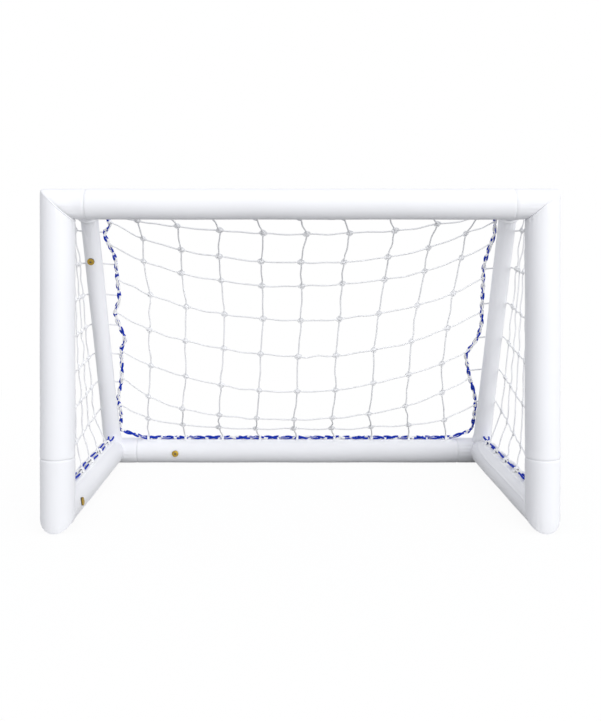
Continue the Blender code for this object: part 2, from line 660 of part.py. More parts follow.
def knit(name, grid, along, reaches, detours=None):
    """A net over a grid of places whose border places are on ropes.

    grid has a row of places for each row of knots with a border row above and below, and a
    border column at each side. along has each border place's rope direction. reaches gives how
    far each border's cords stop from the rope's middle line. detours gives places that a row's
    last cord passes through.
    """
    net = Net(name)
    rows, columns = grid.shape[:2]
    across, down, ports = {}, {}, {}
    for j in range(1, rows - 1):
        for i in range(1, columns - 1):
            across[j, i] = unit(grid[j, i + 1] - grid[j, i - 1])
            down[j, i] = unit(grid[j + 1, i] - grid[j - 1, i])
            if detours and i == columns - 2:
                across[j, i] = unit(grid[j, i] - grid[j, i - 1])
            ports[j, i] = net.knot(grid[j, i], across[j, i], down[j, i])

    def depth(j, i):
        return unit(np.cross(across[j, i], down[j, i]))

    def level(j, i):
        return np.cross(depth(j, i), across[j, i])

    for j in range(1, rows - 1):
        last = columns - 2
        for i in range(1, last):
            wide = unit(level(j, i) + level(j, i + 1))
            centre, deep = slack(grid[j, i], grid[j, i + 1], wide, depth(j, i), CORD_SAG)
            net.cord(ports[j, i]["e"], ports[j, i + 1]["w"], [net.section(centre, wide, deep)])
        start = net.end(grid[j, 1], (grid[j, 0], along[j, 0]), level(j, 1), reaches["west"])
        net.cord(order_like(net, start, ports[j, 1]["w"]), ports[j, 1]["w"])
        via = detours[j - 1] if detours else []
        before = via[-1] if len(via) else grid[j, last]
        end = net.end(before, (grid[j, -1], along[j, -1]), level(j, last), reaches["east"])
        middles, here = [], ports[j, last]["e"]
        trail = [grid[j, last], *via, grid[j, columns - 1]]
        wide = level(j, last)
        for earlier, place, later in zip(trail, trail[1:], trail[2:]):
            deep = unit(np.cross(wide, later - earlier))
            middles.append(net.section(place, wide, deep))
        chain = [here]
        for ring in middles:
            chain.append(order_like(net, net.add(ring), chain[-1]))
        chain.append(order_like(net, end, chain[-1]))
        for a, b in zip(chain, chain[1:]):
            net.cord(a, b)
    for i in range(1, columns - 1):
        for j in range(1, rows - 2):
            wide = unit(across[j, i] + across[j + 1, i])
            centre, deep = slack(grid[j, i], grid[j + 1, i], wide, depth(j, i), 0.0)
            net.cord(ports[j, i]["s"], ports[j + 1, i]["n"], [net.section(centre, wide, deep)])
        top = net.end(grid[1, i], (grid[0, i], along[0, i]), across[1, i], reaches["north"])
        net.cord(order_like(net, top, ports[1, i]["n"]), ports[1, i]["n"])
        low = net.end(grid[-2, i], (grid[-1, i], along[-1, i]), across[rows - 2, i],
                      reaches["south"])
        net.cord(ports[rows - 2, i]["s"], order_like(net, low, ports[rows - 2, i]["s"]))
    return net.build()


def order_like(net, ring, model):
    """A cross-section's corners in the turn and the order that lie nearest the model's."""
    places = [net.points[index] for index in ring]
    wanted = [net.points[index] for index in model]
    middle, target = sum(places) / 4, sum(wanted) / 4
    best = min(
        (tuple((start + way * k) % 4 for k in range(4)) for start in range(4) for way in (1, -1)),
        key=lambda order: sum(
            np.linalg.norm(places[index] - middle - wanted[k] + target)
            for k, index in enumerate(order)))
    return tuple(ring[index] for index in best)


def rope_place(route, axis, value):
    """The place on a rope where one coordinate has a value, and the rope's direction there.

    A height is looked for on the stretch behind the elbow only.
    """
    line = smooth_route(route, ROPE_STEP)
    best = None
    for a, b in zip(line, line[1:]):
        if axis == 2 and a[1] < ELBOW[1] - STRUT_R:
            continue
        share = min(max((value - a[axis]) / (b[axis] - a[axis] or 1.0), 0.0), 1.0)
        place = a + (b - a) * share
        miss = abs(place[axis] - value)
        if best is None or miss < best[0]:
            best = (miss, place, unit(b - a))
    return best[1], best[2]


def build_back_net(places):
    """Roof and back in one sheet that sags inward between the two corner ropes."""
    half = MESHES_ACROSS // 2
    steps = range(-half, half + 1)
    grid = np.zeros((len(BACK_ROWS) + 2, MESHES_ACROSS + 1, 3))
    along = np.zeros_like(grid)
    along[0], along[-1] = places["crossbar"].along, places["rear"].along
    routes = {side: corner_route(side) for side in (-1, 1)}
    for i, step in enumerate(steps):
        grid[0, i] = places["crossbar"].at(places["crossbar"].length / 2 + MESH * step, ROPE_OFFSET)
        grid[-1, i] = places["rear"].at(places["rear"].length / 2 + REAR_MESH * step, ROPE_OFFSET)
    for j, (edge_z, middle_back, middle_z, lift) in enumerate(BACK_ROWS):
        ends = {}
        for side, route in routes.items():
            column = 0 if side < 0 else -1
            if edge_z is None:
                found = rope_place(route, 1, FRONT_Y + ROOF_EDGE_REACH[j])
            else:
                found = rope_place(route, 2, edge_z)
            ends[side], along[j + 1, column] = found
        for i, step in enumerate(steps):
            share = step / half
            bulge = 1 - abs(share) ** lift
            edge = (ends[-1] * (1 - share) + ends[1] * (1 + share)) / 2
            span = (ends[1][0] - ends[-1][0]) / 2
            spread = MESH * half / span - 1
            x = (ends[-1][0] + ends[1][0]) / 2 + span * share * (1 + spread * (1 - share ** 4))
            y = edge[1] + (FRONT_Y + middle_back - (ends[-1][1] + ends[1][1]) / 2) * bulge
            z = edge[2] + (middle_z - (ends[-1][2] + ends[1][2]) / 2) * bulge
            grid[j + 1, i] = (x, y, z)
        grid[j + 1, 0], grid[j + 1, -1] = ends[-1], ends[1]
    for row, (across, up) in enumerate(KNOT_SHIFTS, start=len(BACK_ROWS) - len(KNOT_SHIFTS) + 1):
        grid[row, 1:-1, 0] += across
        grid[row, 1:-1, 2] += up
    knit("back_net", grid, along, {"north": LOOP_OUTER + FIT, "south": LOOP_OUTER + FIT,
                                   "west": ROPE_R + FIT, "east": ROPE_R + FIT})


def strut_y(z):
    """The strut's middle line at a height."""
    return ELBOW[1] + (z - ELBOW[2]) * STRUT_RUN[1] / STRUT_RUN[2]


def build_side_net(side, places):
    """A side panel from the post, past the outside of the strut, to the corner rope."""
    rows = SIDE_ROWS[side]
    post, ground, arm = (places[side_name(stem, side)] for stem in ("post", "ground", "arm"))
    route = corner_route(side)
    tilt = abs(STRUT_RUN[2])
    grid = np.zeros((rows + 2, SIDE_MESHES + 1, 3))
    along = np.zeros_like(grid)
    along[0], along[-1], along[:, 0] = arm.along, ground.along, post.along
    detours = []
    start_y = post.at(0.0, ROPE_OFFSET)[1]
    outer_x = POST_X + STRUT_R + STRUT_CLEARANCE

    def place(step, z):
        """A knot's place in front of the strut."""
        share = step / (SIDE_MESHES - SIDE_LAST_SHARE)
        share *= 1 + SIDE_FAN * max(0.0, z - SIDE_FAN_START_Z) * (1 - share)
        front = strut_y(z) - STRUT_R / tilt - SIDE_KNOT_INSET
        y = start_y + (front - start_y) * share
        lean = max(0.0, z - SIDE_LEAN_START_Z) / (ARM_Z - SIDE_LEAN_START_Z)
        along = (y - start_y) / (strut_y(z) - start_y)
        x = POST_X + (outer_x - POST_X) * (along + lean * (1 - along))
        return np.array((side * x, y, z))

    for j in range(1, rows + 1):
        z = SIDE_TOP_ROW_Z - SIDE_PITCH[side] * (j - 1)
        grid[j, 0] = post.at(z - post.start[2], ROPE_OFFSET)
        for i in range(1, SIDE_MESHES):
            grid[j, i] = place(i, z - SIDE_DROOP[side] * (1 - i / SIDE_MESHES) * (j - 1) * MESH)
        y = strut_y(z)
        grid[j, -1], along[j, -1] = rope_place(route, 2, z - SIDE_END_DROP)
        behind = y + STRUT_R / tilt + STRUT_CLEARANCE
        detours.append([np.array((side * outer_x, y, z)),
                        np.array((side * (POST_X + STRUT_R * STRUT_WRAP_SHARE), behind, z)),
                        np.array((side * (POST_X - STRUT_WRAP_INSET), behind, z))])
    for i in range(1, SIDE_MESHES):
        low = place(i, BASE_Z + BASE_R)
        grid[-1, i] = ground.at(low[1] - ground.start[1], ROPE_OFFSET)
        high = place(i, ARM_Z)
        grid[0, i] = arm.at(high[1] - arm.start[1], ROPE_OFFSET)
    knit(side_name("side_net", side), grid, along,
         {"north": LOOP_OUTER + FIT, "south": LOOP_OUTER + FIT,
          "west": LOOP_OUTER + FIT, "east": ROPE_R + FIT}, detours)


class Valve:
    """A brass valve on a tube's surface. Its own frame has +Z straight out of the tube."""

    def __init__(self, name, place, outward, tube_centre, tube_along, tube_radius):
        self.name = name
        self.place = Vector(place)
        self.turn = Vector(outward).to_track_quat("Z", "X")
        self.tube_centre = Vector(tube_centre)
        self.tube_turn = Vector(tube_along).to_track_quat("Z", "X")
        self.tube_radius = tube_radius

    def seat(self, obj):
        """Put an object that was made in the valve's own frame on the tube."""
        obj.location = self.place
        obj.rotation_mode = "QUATERNION"
        obj.rotation_quaternion = self.turn
        return obj

    def turned(self, name, profile, finish, knurl=0.0, sides=VALVE_SIDES):
        """A body turned about the valve's axis from a closed profile of (radius, height)."""
        rings = []
        for radius, height, rough in profile:
            ring = []
            for s in range(sides):
                angle = math.tau * s / sides
                r = radius - (knurl if rough and s % 2 else 0.0)
                ring.append((r * math.cos(angle), r * math.sin(angle), height))
            rings.append(np.array(ring))
        points, faces = ring_wall(rings, [])
        return self.seat(solid(name, points, faces, finish))

    def tube_cutter(self, stem, radius):
        """A guide in the shape of the tube round the valve."""
        angles = np.arange(GUIDE_SIDES) * math.tau / GUIDE_SIDES
        ring = np.column_stack([np.cos(angles) * radius, np.sin(angles) * radius,
                                np.full(GUIDE_SIDES, -0.03)])
        points, faces = capped([ring, ring + (0.0, 0.0, 0.06)])
        cutter = solid(f"{self.name}_{stem}", points, faces, RUBBER)
        cutter.location = self.tube_centre
        cutter.rotation_mode = "QUATERNION"
        cutter.rotation_quaternion = self.tube_turn
        return cutter

    def build(self, carrier):
        """All the valve's pieces, and the hole in the tube's skin that carries it."""
        hole = STEM_R + SEAM_GAP
        around = np.arange(32) * math.tau / 32
        ring = np.column_stack([np.cos(around) * hole, np.sin(around) * hole, np.full(32, -0.012)])
        points, faces = capped([ring, ring + (0.0, 0.0, 0.024)])
        boolean(carrier, self.seat(solid(f"{self.name}_hole", points, faces, RUBBER)), "DIFFERENCE")
        self.turned(f"{self.name}_body", [
            (BORE_R, CAP_TOP - 0.0002, 0), (FLANGE_R * 0.65, CAP_TOP, 0),
            (FLANGE_R * 0.92, FLANGE_TOP + 0.0004, 0), (FLANGE_R, FLANGE_TOP - 0.0006, 1),
            (FLANGE_R, FLANGE_UNDER + 0.0003, 1), (FLANGE_R * 0.94, FLANGE_UNDER, 0),
            (STEM_R, FLANGE_UNDER, 0), (STEM_R, STEM_END, 0), (SEAT_R, STEM_END, 0),
            (SEAT_R, SEAT_Z, 0), (BORE_R, SEAT_Z, 0)], BRASS, KNURL)
        seal_top = FLANGE_UNDER - SEAM_GAP
        seal = self.turned(f"{self.name}_seal", [
            (hole, seal_top, 0), (SEAL_R, seal_top, 0), (SEAL_R, SEAL_BOTTOM, 0),
            (hole, SEAL_BOTTOM, 0)], RUBBER)
        boolean(seal, self.tube_cutter("seat", self.tube_radius + SEAM_GAP), "DIFFERENCE")
        nut = self.turned(f"{self.name}_nut", [
            (hole, 0.0, 0), (NUT_R, 0.0, 0), (NUT_R, NUT_BOTTOM, 0), (hole, NUT_BOTTOM, 0)],
            BRASS, sides=12)
        inside = self.tube_radius - SKIN - 2 * SEAM_GAP
        boolean(nut, self.tube_cutter("inside", inside), "INTERSECT")
        head = BORE_R - CORE_CLEARANCE
        self.turned_pin(f"{self.name}_core", [
            (head, CORE_BOTTOM), (head, FLANGE_TOP)], [
            (CORE_SHAFT_R, STEM_END - 0.0020), (CORE_SHAFT_R, CORE_BOTTOM)])

    def turned_pin(self, name, head, shaft):
        """A solid pin: a thin shaft below a wider head."""
        rings = []
        for radius, height in [*shaft, *head]:
            angles = np.arange(16) * math.tau / 16
            rings.append(np.column_stack([np.cos(angles) * radius, np.sin(angles) * radius,
                                          np.full(16, height)]))
        points = np.concatenate(rings)
        faces = [tuple(range(16)), tuple(range(48, 64))]
        for level in range(3):
            for s in range(16):
                t = (s + 1) % 16
                faces.append((level * 16 + s, level * 16 + t, level * 16 + 16 + t,
                              level * 16 + 16 + s))
        self.seat(solid(name, points, faces, CORE_METAL))


def build_valves(carriers):
    """The valves of the left strut, the rear bar and the left ground tube."""
    left = np.array((-1.0, 1.0, 1.0))
    front = -STRUT_UP * math.cos(STRUT_VALVE_TURN) + X_AXIS * math.sin(STRUT_VALVE_TURN)
    centre = ELBOW * left + STRUT_RUN * (STRUT_VALVE_DROP / abs(STRUT_RUN[2]))
    Valve("strut_valve", centre + front * STRUT_R, front, centre, STRUT_RUN,
          STRUT_R).build(carriers["strut_left"])
    front = -Y_AXIS * math.cos(REAR_VALVE_TURN) + Z_AXIS * math.sin(REAR_VALVE_TURN)
    centre = np.array((REAR_VALVE_X, REAR_Y, BASE_Z))
    Valve("rear_valve", centre + front * BASE_R, front, centre, X_AXIS,
          BASE_R).build(carriers["rear_bar"])
    inward = X_AXIS * math.cos(GROUND_VALVE_TURN) + Z_AXIS * math.sin(GROUND_VALVE_TURN)
    centre = HEEL * left + Y_AXIS * GROUND_VALVE_BACK
    Valve("ground_valve", centre + inward * BASE_R, inward, centre, Y_AXIS,
          BASE_R).build(carriers["ground_tube_left"])


def main():
    for obj in list(bpy.data.objects):
        bpy.data.objects.remove(obj, do_unlink=True)
    carriers = build_frame()
    places = build_lacing()
    build_back_net(places)
    for side in (-1, 1):
        build_side_net(side, places)
    build_valves(carriers)


main()
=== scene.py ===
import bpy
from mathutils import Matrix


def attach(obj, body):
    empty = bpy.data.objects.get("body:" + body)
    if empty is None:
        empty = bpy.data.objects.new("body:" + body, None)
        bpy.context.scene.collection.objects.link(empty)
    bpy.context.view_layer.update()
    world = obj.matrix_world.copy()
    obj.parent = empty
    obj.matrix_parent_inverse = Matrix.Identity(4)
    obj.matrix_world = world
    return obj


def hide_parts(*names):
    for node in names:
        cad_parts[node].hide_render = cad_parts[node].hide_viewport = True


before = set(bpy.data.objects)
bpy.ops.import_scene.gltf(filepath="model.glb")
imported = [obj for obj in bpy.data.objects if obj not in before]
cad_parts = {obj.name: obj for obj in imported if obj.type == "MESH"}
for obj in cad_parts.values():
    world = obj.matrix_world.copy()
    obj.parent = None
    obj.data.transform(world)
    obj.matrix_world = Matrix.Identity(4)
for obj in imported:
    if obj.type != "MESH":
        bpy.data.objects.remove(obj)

"""Blown-up mini soccer goal: fine skins, seams, net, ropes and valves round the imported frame.

Metres, +Z up, the mouth faces -Y. Every surface is worked out with numpy as a grid of points and
put into a mesh in one go.
"""

import logging
import math
from dataclasses import dataclass, field
from enum import Enum
from functools import partial
from typing import Callable, Optional, Sequence, Union

import bpy
import numpy as np
from bpy.types import ID, Material, Node, NodeSocket, NodeTree, Object

Array = np.ndarray
Radii = Callable[[Array], tuple[Array, Array]]
Reshape = Callable[[Array, Array, Array, Array], Array]
Fed = Union[NodeSocket, float, Sequence[float]]
Profile = Sequence[tuple[float, float, float]]
LOG = logging.getLogger("mini_soccer_goal")
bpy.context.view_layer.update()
X_AXIS, Y_AXIS, Z_AXIS = np.eye(3)
FULL_TURN = 2.0 * math.pi
ROOT_BODY = "frame"


class Side(Enum):
    """Which side frame a piece belongs to, seen from the field."""

    LEFT = -1
    RIGHT = 1

    def named(self, stem: str) -> str:
        """The CAD node's name for this side."""
        return f"{stem}_{self.name.lower()}"

    def place(self, points: Array) -> Array:
        """Points worked out for the right-hand side, mirrored for the left-hand one."""
        return np.asarray(points, float) * (self.value, 1.0, 1.0)


@dataclass(frozen=True)
class GoalSize:
    """Main sizes of the blown-up frame, as in the CAD."""

    width: float = 1.200
    height: float = 0.787
    depth: float = 0.800
    post_r: float = 0.0400
    crossbar_r: float = 0.0358
    base_r: float = 0.0372
    strut_r: float = 0.0237
    skin: float = 0.0012
    floor_sink: float = 0.0008
    arm_drop: float = 0.0047
    arm_reach: float = 0.352
    seam_gap: float = 0.0003
    crossbar_seam_inset: float = 0.066
    rear_seam_inset: float = 0.075
    post_seam_z: float = 0.166
    heel_flare: float = 0.060

    @property
    def post_x(self) -> float:
        """Half the distance between the posts' middle lines."""
        return self.width / 2 - self.post_r

    @property
    def front_y(self) -> float:
        """The posts' middle plane."""
        return -self.depth / 2 + self.post_r

    @property
    def rear_y(self) -> float:
        """The rear bar's middle plane."""
        return self.depth / 2 - self.base_r

    @property
    def crossbar_z(self) -> float:
        """The crossbar's middle line."""
        return self.height - self.crossbar_r

    @property
    def base_z(self) -> float:
        """The middle line of the tubes on the floor."""
        return self.base_r - self.floor_sink

    @property
    def elbow(self) -> Array:
        """Where the right-hand top arm meets its strut."""
        return np.array((self.post_x, self.front_y + self.arm_reach,
                         self.crossbar_z - self.arm_drop))

    @property
    def rear_corner(self) -> Array:
        """Where the right-hand ground tube meets the rear bar."""
        return np.array((self.post_x, self.rear_y, self.base_z))

    @property
    def corner(self) -> Array:
        """Where the right-hand post meets the crossbar."""
        return np.array((self.post_x, self.front_y, self.crossbar_z))

    @property
    def heel(self) -> Array:
        """Where the right-hand post meets its ground tube."""
        return np.array((self.post_x, self.front_y, self.base_z))

    @property
    def heel_normal(self) -> Array:
        """Square to the mitre between the post's foot and the ground tube."""
        return np.array((0.0, -self.base_r, self.post_r)) / math.hypot(self.base_r, self.post_r)

    @property
    def elbow_normal(self) -> Array:
        """Square to the mitre between the top arm and the strut."""
        return unit(Y_AXIS + self.strut_run)

    @property
    def strut_run(self) -> Array:
        """The direction down the strut."""
        return unit(self.rear_corner - self.elbow)

    @property
    def strut_up(self) -> Array:
        """Square to the strut in the side frame's plane, pointing back and up."""
        return np.cross(X_AXIS, self.strut_run)


def unit(vectors: Array) -> Array:
    """Vectors divided by their own lengths."""
    vectors = np.asarray(vectors, float)
    return vectors / np.maximum(np.linalg.norm(vectors, axis=-1, keepdims=True), 1e-12)


SIZE = GoalSize()


def placed(name: str, data: ID) -> Object:
    """A new object in the scene.

    Args:
        name: its name.
        data: its mesh, lamp or camera.

    Returns:
        The object, at the origin.
    """
    made = bpy.data.objects.new(name, data)
    bpy.context.scene.collection.objects.link(made)
    return made


# Meshes

SHARP_ANGLE = math.radians(50)


class Shells:
    """Collects closed grids of points, with their UVs, into one mesh."""

    def __init__(self) -> None:
        """Nothing collected yet."""
        self.points: list[Array] = []
        self.faces: list[list[int]] = []
        self.uvs: list[Array] = []
        self.count = 0

    def add(self, rings: Array, looped: bool = False, along: Optional[Array] = None) -> None:
        """Add one closed surface: rings of points joined in order.

        Args:
            rings: points of shape (rings, points round a ring, 3).
            looped: True joins the last ring to the first; otherwise both ends get a flat cap.
            along: the UV's second coordinate of each ring, the running length by default.
        """
        count, sides = rings.shape[:2]
        if along is None:
            centres = rings.mean(axis=1)
            steps = np.linalg.norm(np.diff(centres, axis=0), axis=1)
            along = np.append(0.0, np.cumsum(steps))
        i = np.arange(count if looped else count - 1)[:, None]
        j = np.arange(sides)[None, :]
        after_i, after_j = (i + 1) % count, (j + 1) % sides
        quads = np.stack([i * sides + j, i * sides + after_j, after_i * sides + after_j,
                          after_i * sides + j], axis=-1).reshape(-1, 4)
        u = np.broadcast_to(j / sides, (len(i), sides))
        low, high = (np.broadcast_to(along[k], (len(i), sides)) for k in (i, after_i))
        uv = np.stack([np.stack([u, low], -1), np.stack([u + 1 / sides, low], -1),
                       np.stack([u + 1 / sides, high], -1), np.stack([u, high], -1)],
                      axis=-2).reshape(-1, 4, 2)
        flat = rings.reshape(-1, 3)
        caps = [] if looped else [np.arange(sides)[::-1], np.arange(sides) + (count - 1) * sides]
        volume = signed_volume(flat, quads) + sum(
            signed_volume(flat, np.stack([np.full(sides - 2, cap[0]), cap[1:-1], cap[2:]], -1))
            for cap in caps)
        if volume < 0:
            quads, uv = quads[:, ::-1], uv[:, ::-1]
            caps = [cap[::-1] for cap in caps]
        self.faces += (quads + self.count).tolist()
        self.uvs.append(uv.reshape(-1, 2))
        for cap in caps:
            self.faces.append((cap + self.count).tolist())
            end = along[0] if cap.min() < sides else along[-1]
            self.uvs.append(np.column_stack([np.arange(sides) / sides, np.full(sides, end)]))
        self.points.append(flat)
        self.count += len(flat)

    def build(self, node: str, word: str, material: Material, slot: str,
              body: str = ROOT_BODY) -> Object:
        """One object, at the origin, of everything that was added.

        Args:
            node: the CAD node that it replaces.
            word: what its own name has after the node's.
            material: its finish.
            slot: the record's material slot; not used.
            body: the CAD body that it rides on.

        Returns:
            The object.
        """
        mesh = bpy.data.meshes.new(f"{node}_{word}")
        mesh.from_pydata(np.concatenate(self.points), [], self.faces)
        layer = mesh.uv_layers.new(name="along")
        layer.data.foreach_set("uv", np.concatenate(self.uvs).ravel())
        mesh.shade_smooth()
        mesh.set_sharp_from_angle(angle=SHARP_ANGLE)
        mesh.materials.append(material)
        piece = placed(mesh.name, mesh)
        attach(piece, body)
        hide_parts(node)
        LOG.info("%s: %d points, %d faces", piece.name, self.count, len(self.faces))
        return piece


def signed_volume(points: Array, faces: Array) -> float:
    """Volume inside faces, as the sum of the tetrahedra to the origin.

    Args:
        points: the points.
        faces: point numbers, as many for each face.

    Returns:
        The volume, negative if the faces are inside out.
    """
    a = points[faces[:, 0]]
    total = 0.0
    for k in range(1, faces.shape[1] - 1):
        total += (a * np.cross(points[faces[:, k]], points[faces[:, k + 1]])).sum() / 6
    return float(total)


def turned(angle: Array | float, first: Array, second: Array) -> Array:
    """Vectors cos a * first + sin a * second."""
    return np.cos(angle)[..., None] * first + np.sin(angle)[..., None] * second


def bell(distance: Array, width: float) -> Array:
    """A bell curve: exp(-(distance / width)^2)."""
    return np.exp(-(distance / width) ** 2)


def smooth_route(route: Sequence[Sequence[float]], step: float) -> Array:
    """Evenly spaced points on the smooth cubic curve through all the route's points.

    Each stretch between two points is the cubic whose slope at a point is half the way from the
    point before it to the point after it.

    Args:
        route: the points.
        step: the distance between the new points.

    Returns:
        The new points.
    """
    places = np.asarray(route, float)
    ends = np.vstack([2 * places[0] - places[1], places, 2 * places[-1] - places[-2]])
    a, b, c, d = (ends[k:len(ends) - 3 + k, None, :] for k in range(4))
    t = np.linspace(0.0, 1.0, 16, endpoint=False)[None, :, None]
    fine = 0.5 * (2 * b + (c - a) * t + (2 * a - 5 * b + 4 * c - d) * t ** 2
                  + (3 * b - a - 3 * c + d) * t ** 3)
    return spaced(np.vstack([fine.reshape(-1, 3), places[-1:]]), step)


def spaced(line: Array, step: float) -> Array:
    """Points at an even step along a line.

    Args:
        line: the line's points.
        step: the distance wanted between the new points.

    Returns:
        The new points.
    """
    travelled = np.append(0.0, np.cumsum(np.linalg.norm(np.diff(line, axis=0), axis=1)))
    wanted = np.linspace(0.0, travelled[-1], max(2, round(travelled[-1] / step) + 1))
    return np.column_stack([np.interp(wanted, travelled, line[:, k]) for k in range(3)])


def turning_frame(line: Array, hint: Array) -> tuple[Array, Array]:
    """Two directions square to a line at each of its points.

    The first is the hint with its part along the line taken out, the second is square to both.

    Args:
        line: the line's points.
        hint: about where the first direction points.

    Returns:
        The two directions.
    """
    run = unit(np.gradient(line, axis=0))
    hint = np.broadcast_to(np.asarray(hint, float), run.shape)
    first = unit(hint - (hint * run).sum(axis=1, keepdims=True) * run)
    return first, np.cross(run, first)


def tube_rings(line: Array, radius: Array | float, sides: int, hint: Array) -> Array:
    """Rings round a line: centre + radius * (cos a * first + sin a * second).

    Args:
        line: the line's points.
        radius: one radius, or one for each point.
        sides: the points of a ring.
        hint: about where a ring's first point lies.

    Returns:
        Points of shape (rings, sides, 3).
    """
    first, second = turning_frame(line, hint)
    angle = np.arange(sides) * FULL_TURN / sides
    radius = np.broadcast_to(np.asarray(radius, float).reshape(-1, 1, 1), (len(line), 1, 1))
    return line[:, None] + radius * turned(angle, first[:, None], second[:, None])


# Finishes

VECTOR, COLOUR, NUMBER = "NodeSocketVector", "NodeSocketColor", "NodeSocketFloat"
GRIME_TOP = 0.035
WHITE = (1.0, 1.0, 1.0)


class Graph:
    """A node tree that is filled in a few words at a time."""

    def __init__(self, tree: NodeTree) -> None:
        """Keep the tree that is filled in."""
        self.tree = tree

    def node(self, kind: str, **settings: object) -> Node:
        """A new node.

        Args:
            kind: its type.
            settings: its own properties.

        Returns:
            The node.
        """
        made = self.tree.nodes.new(kind)
        for key, value in settings.items():
            setattr(made, key, value)
        return made

    def feed(self, target: NodeSocket, value: Fed) -> None:
        """Link a socket to an output, or set its value.

        Args:
            target: the socket.
            value: the output or the value.
        """
        if isinstance(value, NodeSocket):
            self.tree.links.new(value, target)
        else:
            target.default_value = value

    def math(self, operation: str, a: Fed, b: Fed = 0.0, c: Fed = 0.0) -> NodeSocket:
        """A Math node.

        Args:
            operation: what it does.
            a, b, c: its inputs.

        Returns:
            Its result.
        """
        made = self.node("ShaderNodeMath", operation=operation)
        for socket, value in zip(made.inputs, (a, b, c)):
            self.feed(socket, value)
        return made.outputs[0]

    def mix(self, factor: Fed, a: Fed, b: Fed) -> NodeSocket:
        """A mix of two colours.

        Args:
            factor: the second colour's share.
            a, b: the colours.

        Returns:
            The mixed colour.
        """
        made = self.node("ShaderNodeMix", data_type="RGBA")
        self.feed(made.inputs["Factor"], factor)
        self.feed(made.inputs[6], a)
        self.feed(made.inputs[7], b)
        return made.outputs[2]

    def noise(self, vector: Fed, scale: Fed, detail: float = 2.0, roughness: float = 0.5
              ) -> NodeSocket:
        """A noise pattern.

        Args:
            vector: the coordinates.
            scale: how many spots there are to a metre.
            detail: how many finer layers it has.
            roughness: how strong they are.

        Returns:
            The pattern's value.
        """
        made = self.node("ShaderNodeTexNoise")
        self.feed(made.inputs["Vector"], vector)
        self.feed(made.inputs["Scale"], scale)
        made.inputs["Detail"].default_value = detail
        made.inputs["Roughness"].default_value = roughness
        return made.outputs["Fac"]

    def blend(self, factor: Fed, first: Fed, second: Fed) -> NodeSocket:
        """A mix of two shaders.

        Args:
            factor: the second shader's share.
            first, second: the shaders.

        Returns:
            The mixed shader.
        """
        made = self.node("ShaderNodeMixShader")
        for socket, value in zip(made.inputs, (factor, first, second)):
            self.feed(socket, value)
        return made.outputs[0]

    def plain(self, kind: str, colour: tuple[float, float, float]) -> Node:
        """A shader of one colour.

        Args:
            kind: the node's type.
            colour: the colour.

        Returns:
            The node.
        """
        made = self.node(kind)
        made.inputs["Color"].default_value = (*colour, 1.0)
        return made

    def seen_directly(self) -> NodeSocket:
        """1 for camera, transmission and glossy rays, and 0 for rays that only carry light.

        Returns:
            The mask.
        """
        rays = self.node("ShaderNodeLightPath")
        direct = self.math("MAXIMUM", rays.outputs["Is Camera Ray"],
                           rays.outputs["Is Transmission Ray"])
        return self.math("MAXIMUM", direct, rays.outputs["Is Glossy Ray"])


def new_group(name: str, inputs: Sequence[tuple[str, str, object]],
              outputs: Sequence[tuple[str, str]]) -> tuple[NodeTree, Graph, dict, dict]:
    """An empty node group with named sockets.

    Args:
        name: the group's name.
        inputs: (name, socket type, default value) of each input.
        outputs: (name, socket type) of each output.

    Returns:
        The group, its graph, its inputs' sockets and its outputs' sockets, by name.
    """
    group = bpy.data.node_groups.new(name, "ShaderNodeTree")
    for label, kind, value in inputs:
        made = group.interface.new_socket(name=label, in_out="INPUT", socket_type=kind)
        if value is not None:
            made.default_value = value
    for label, kind in outputs:
        group.interface.new_socket(name=label, in_out="OUTPUT", socket_type=kind)
    graph = Graph(group)
    entry, leave = graph.node("NodeGroupInput"), graph.node("NodeGroupOutput")
    return (group, graph, {s.name: s for s in entry.outputs if s.name},
            {s.name: s for s in leave.inputs if s.name})


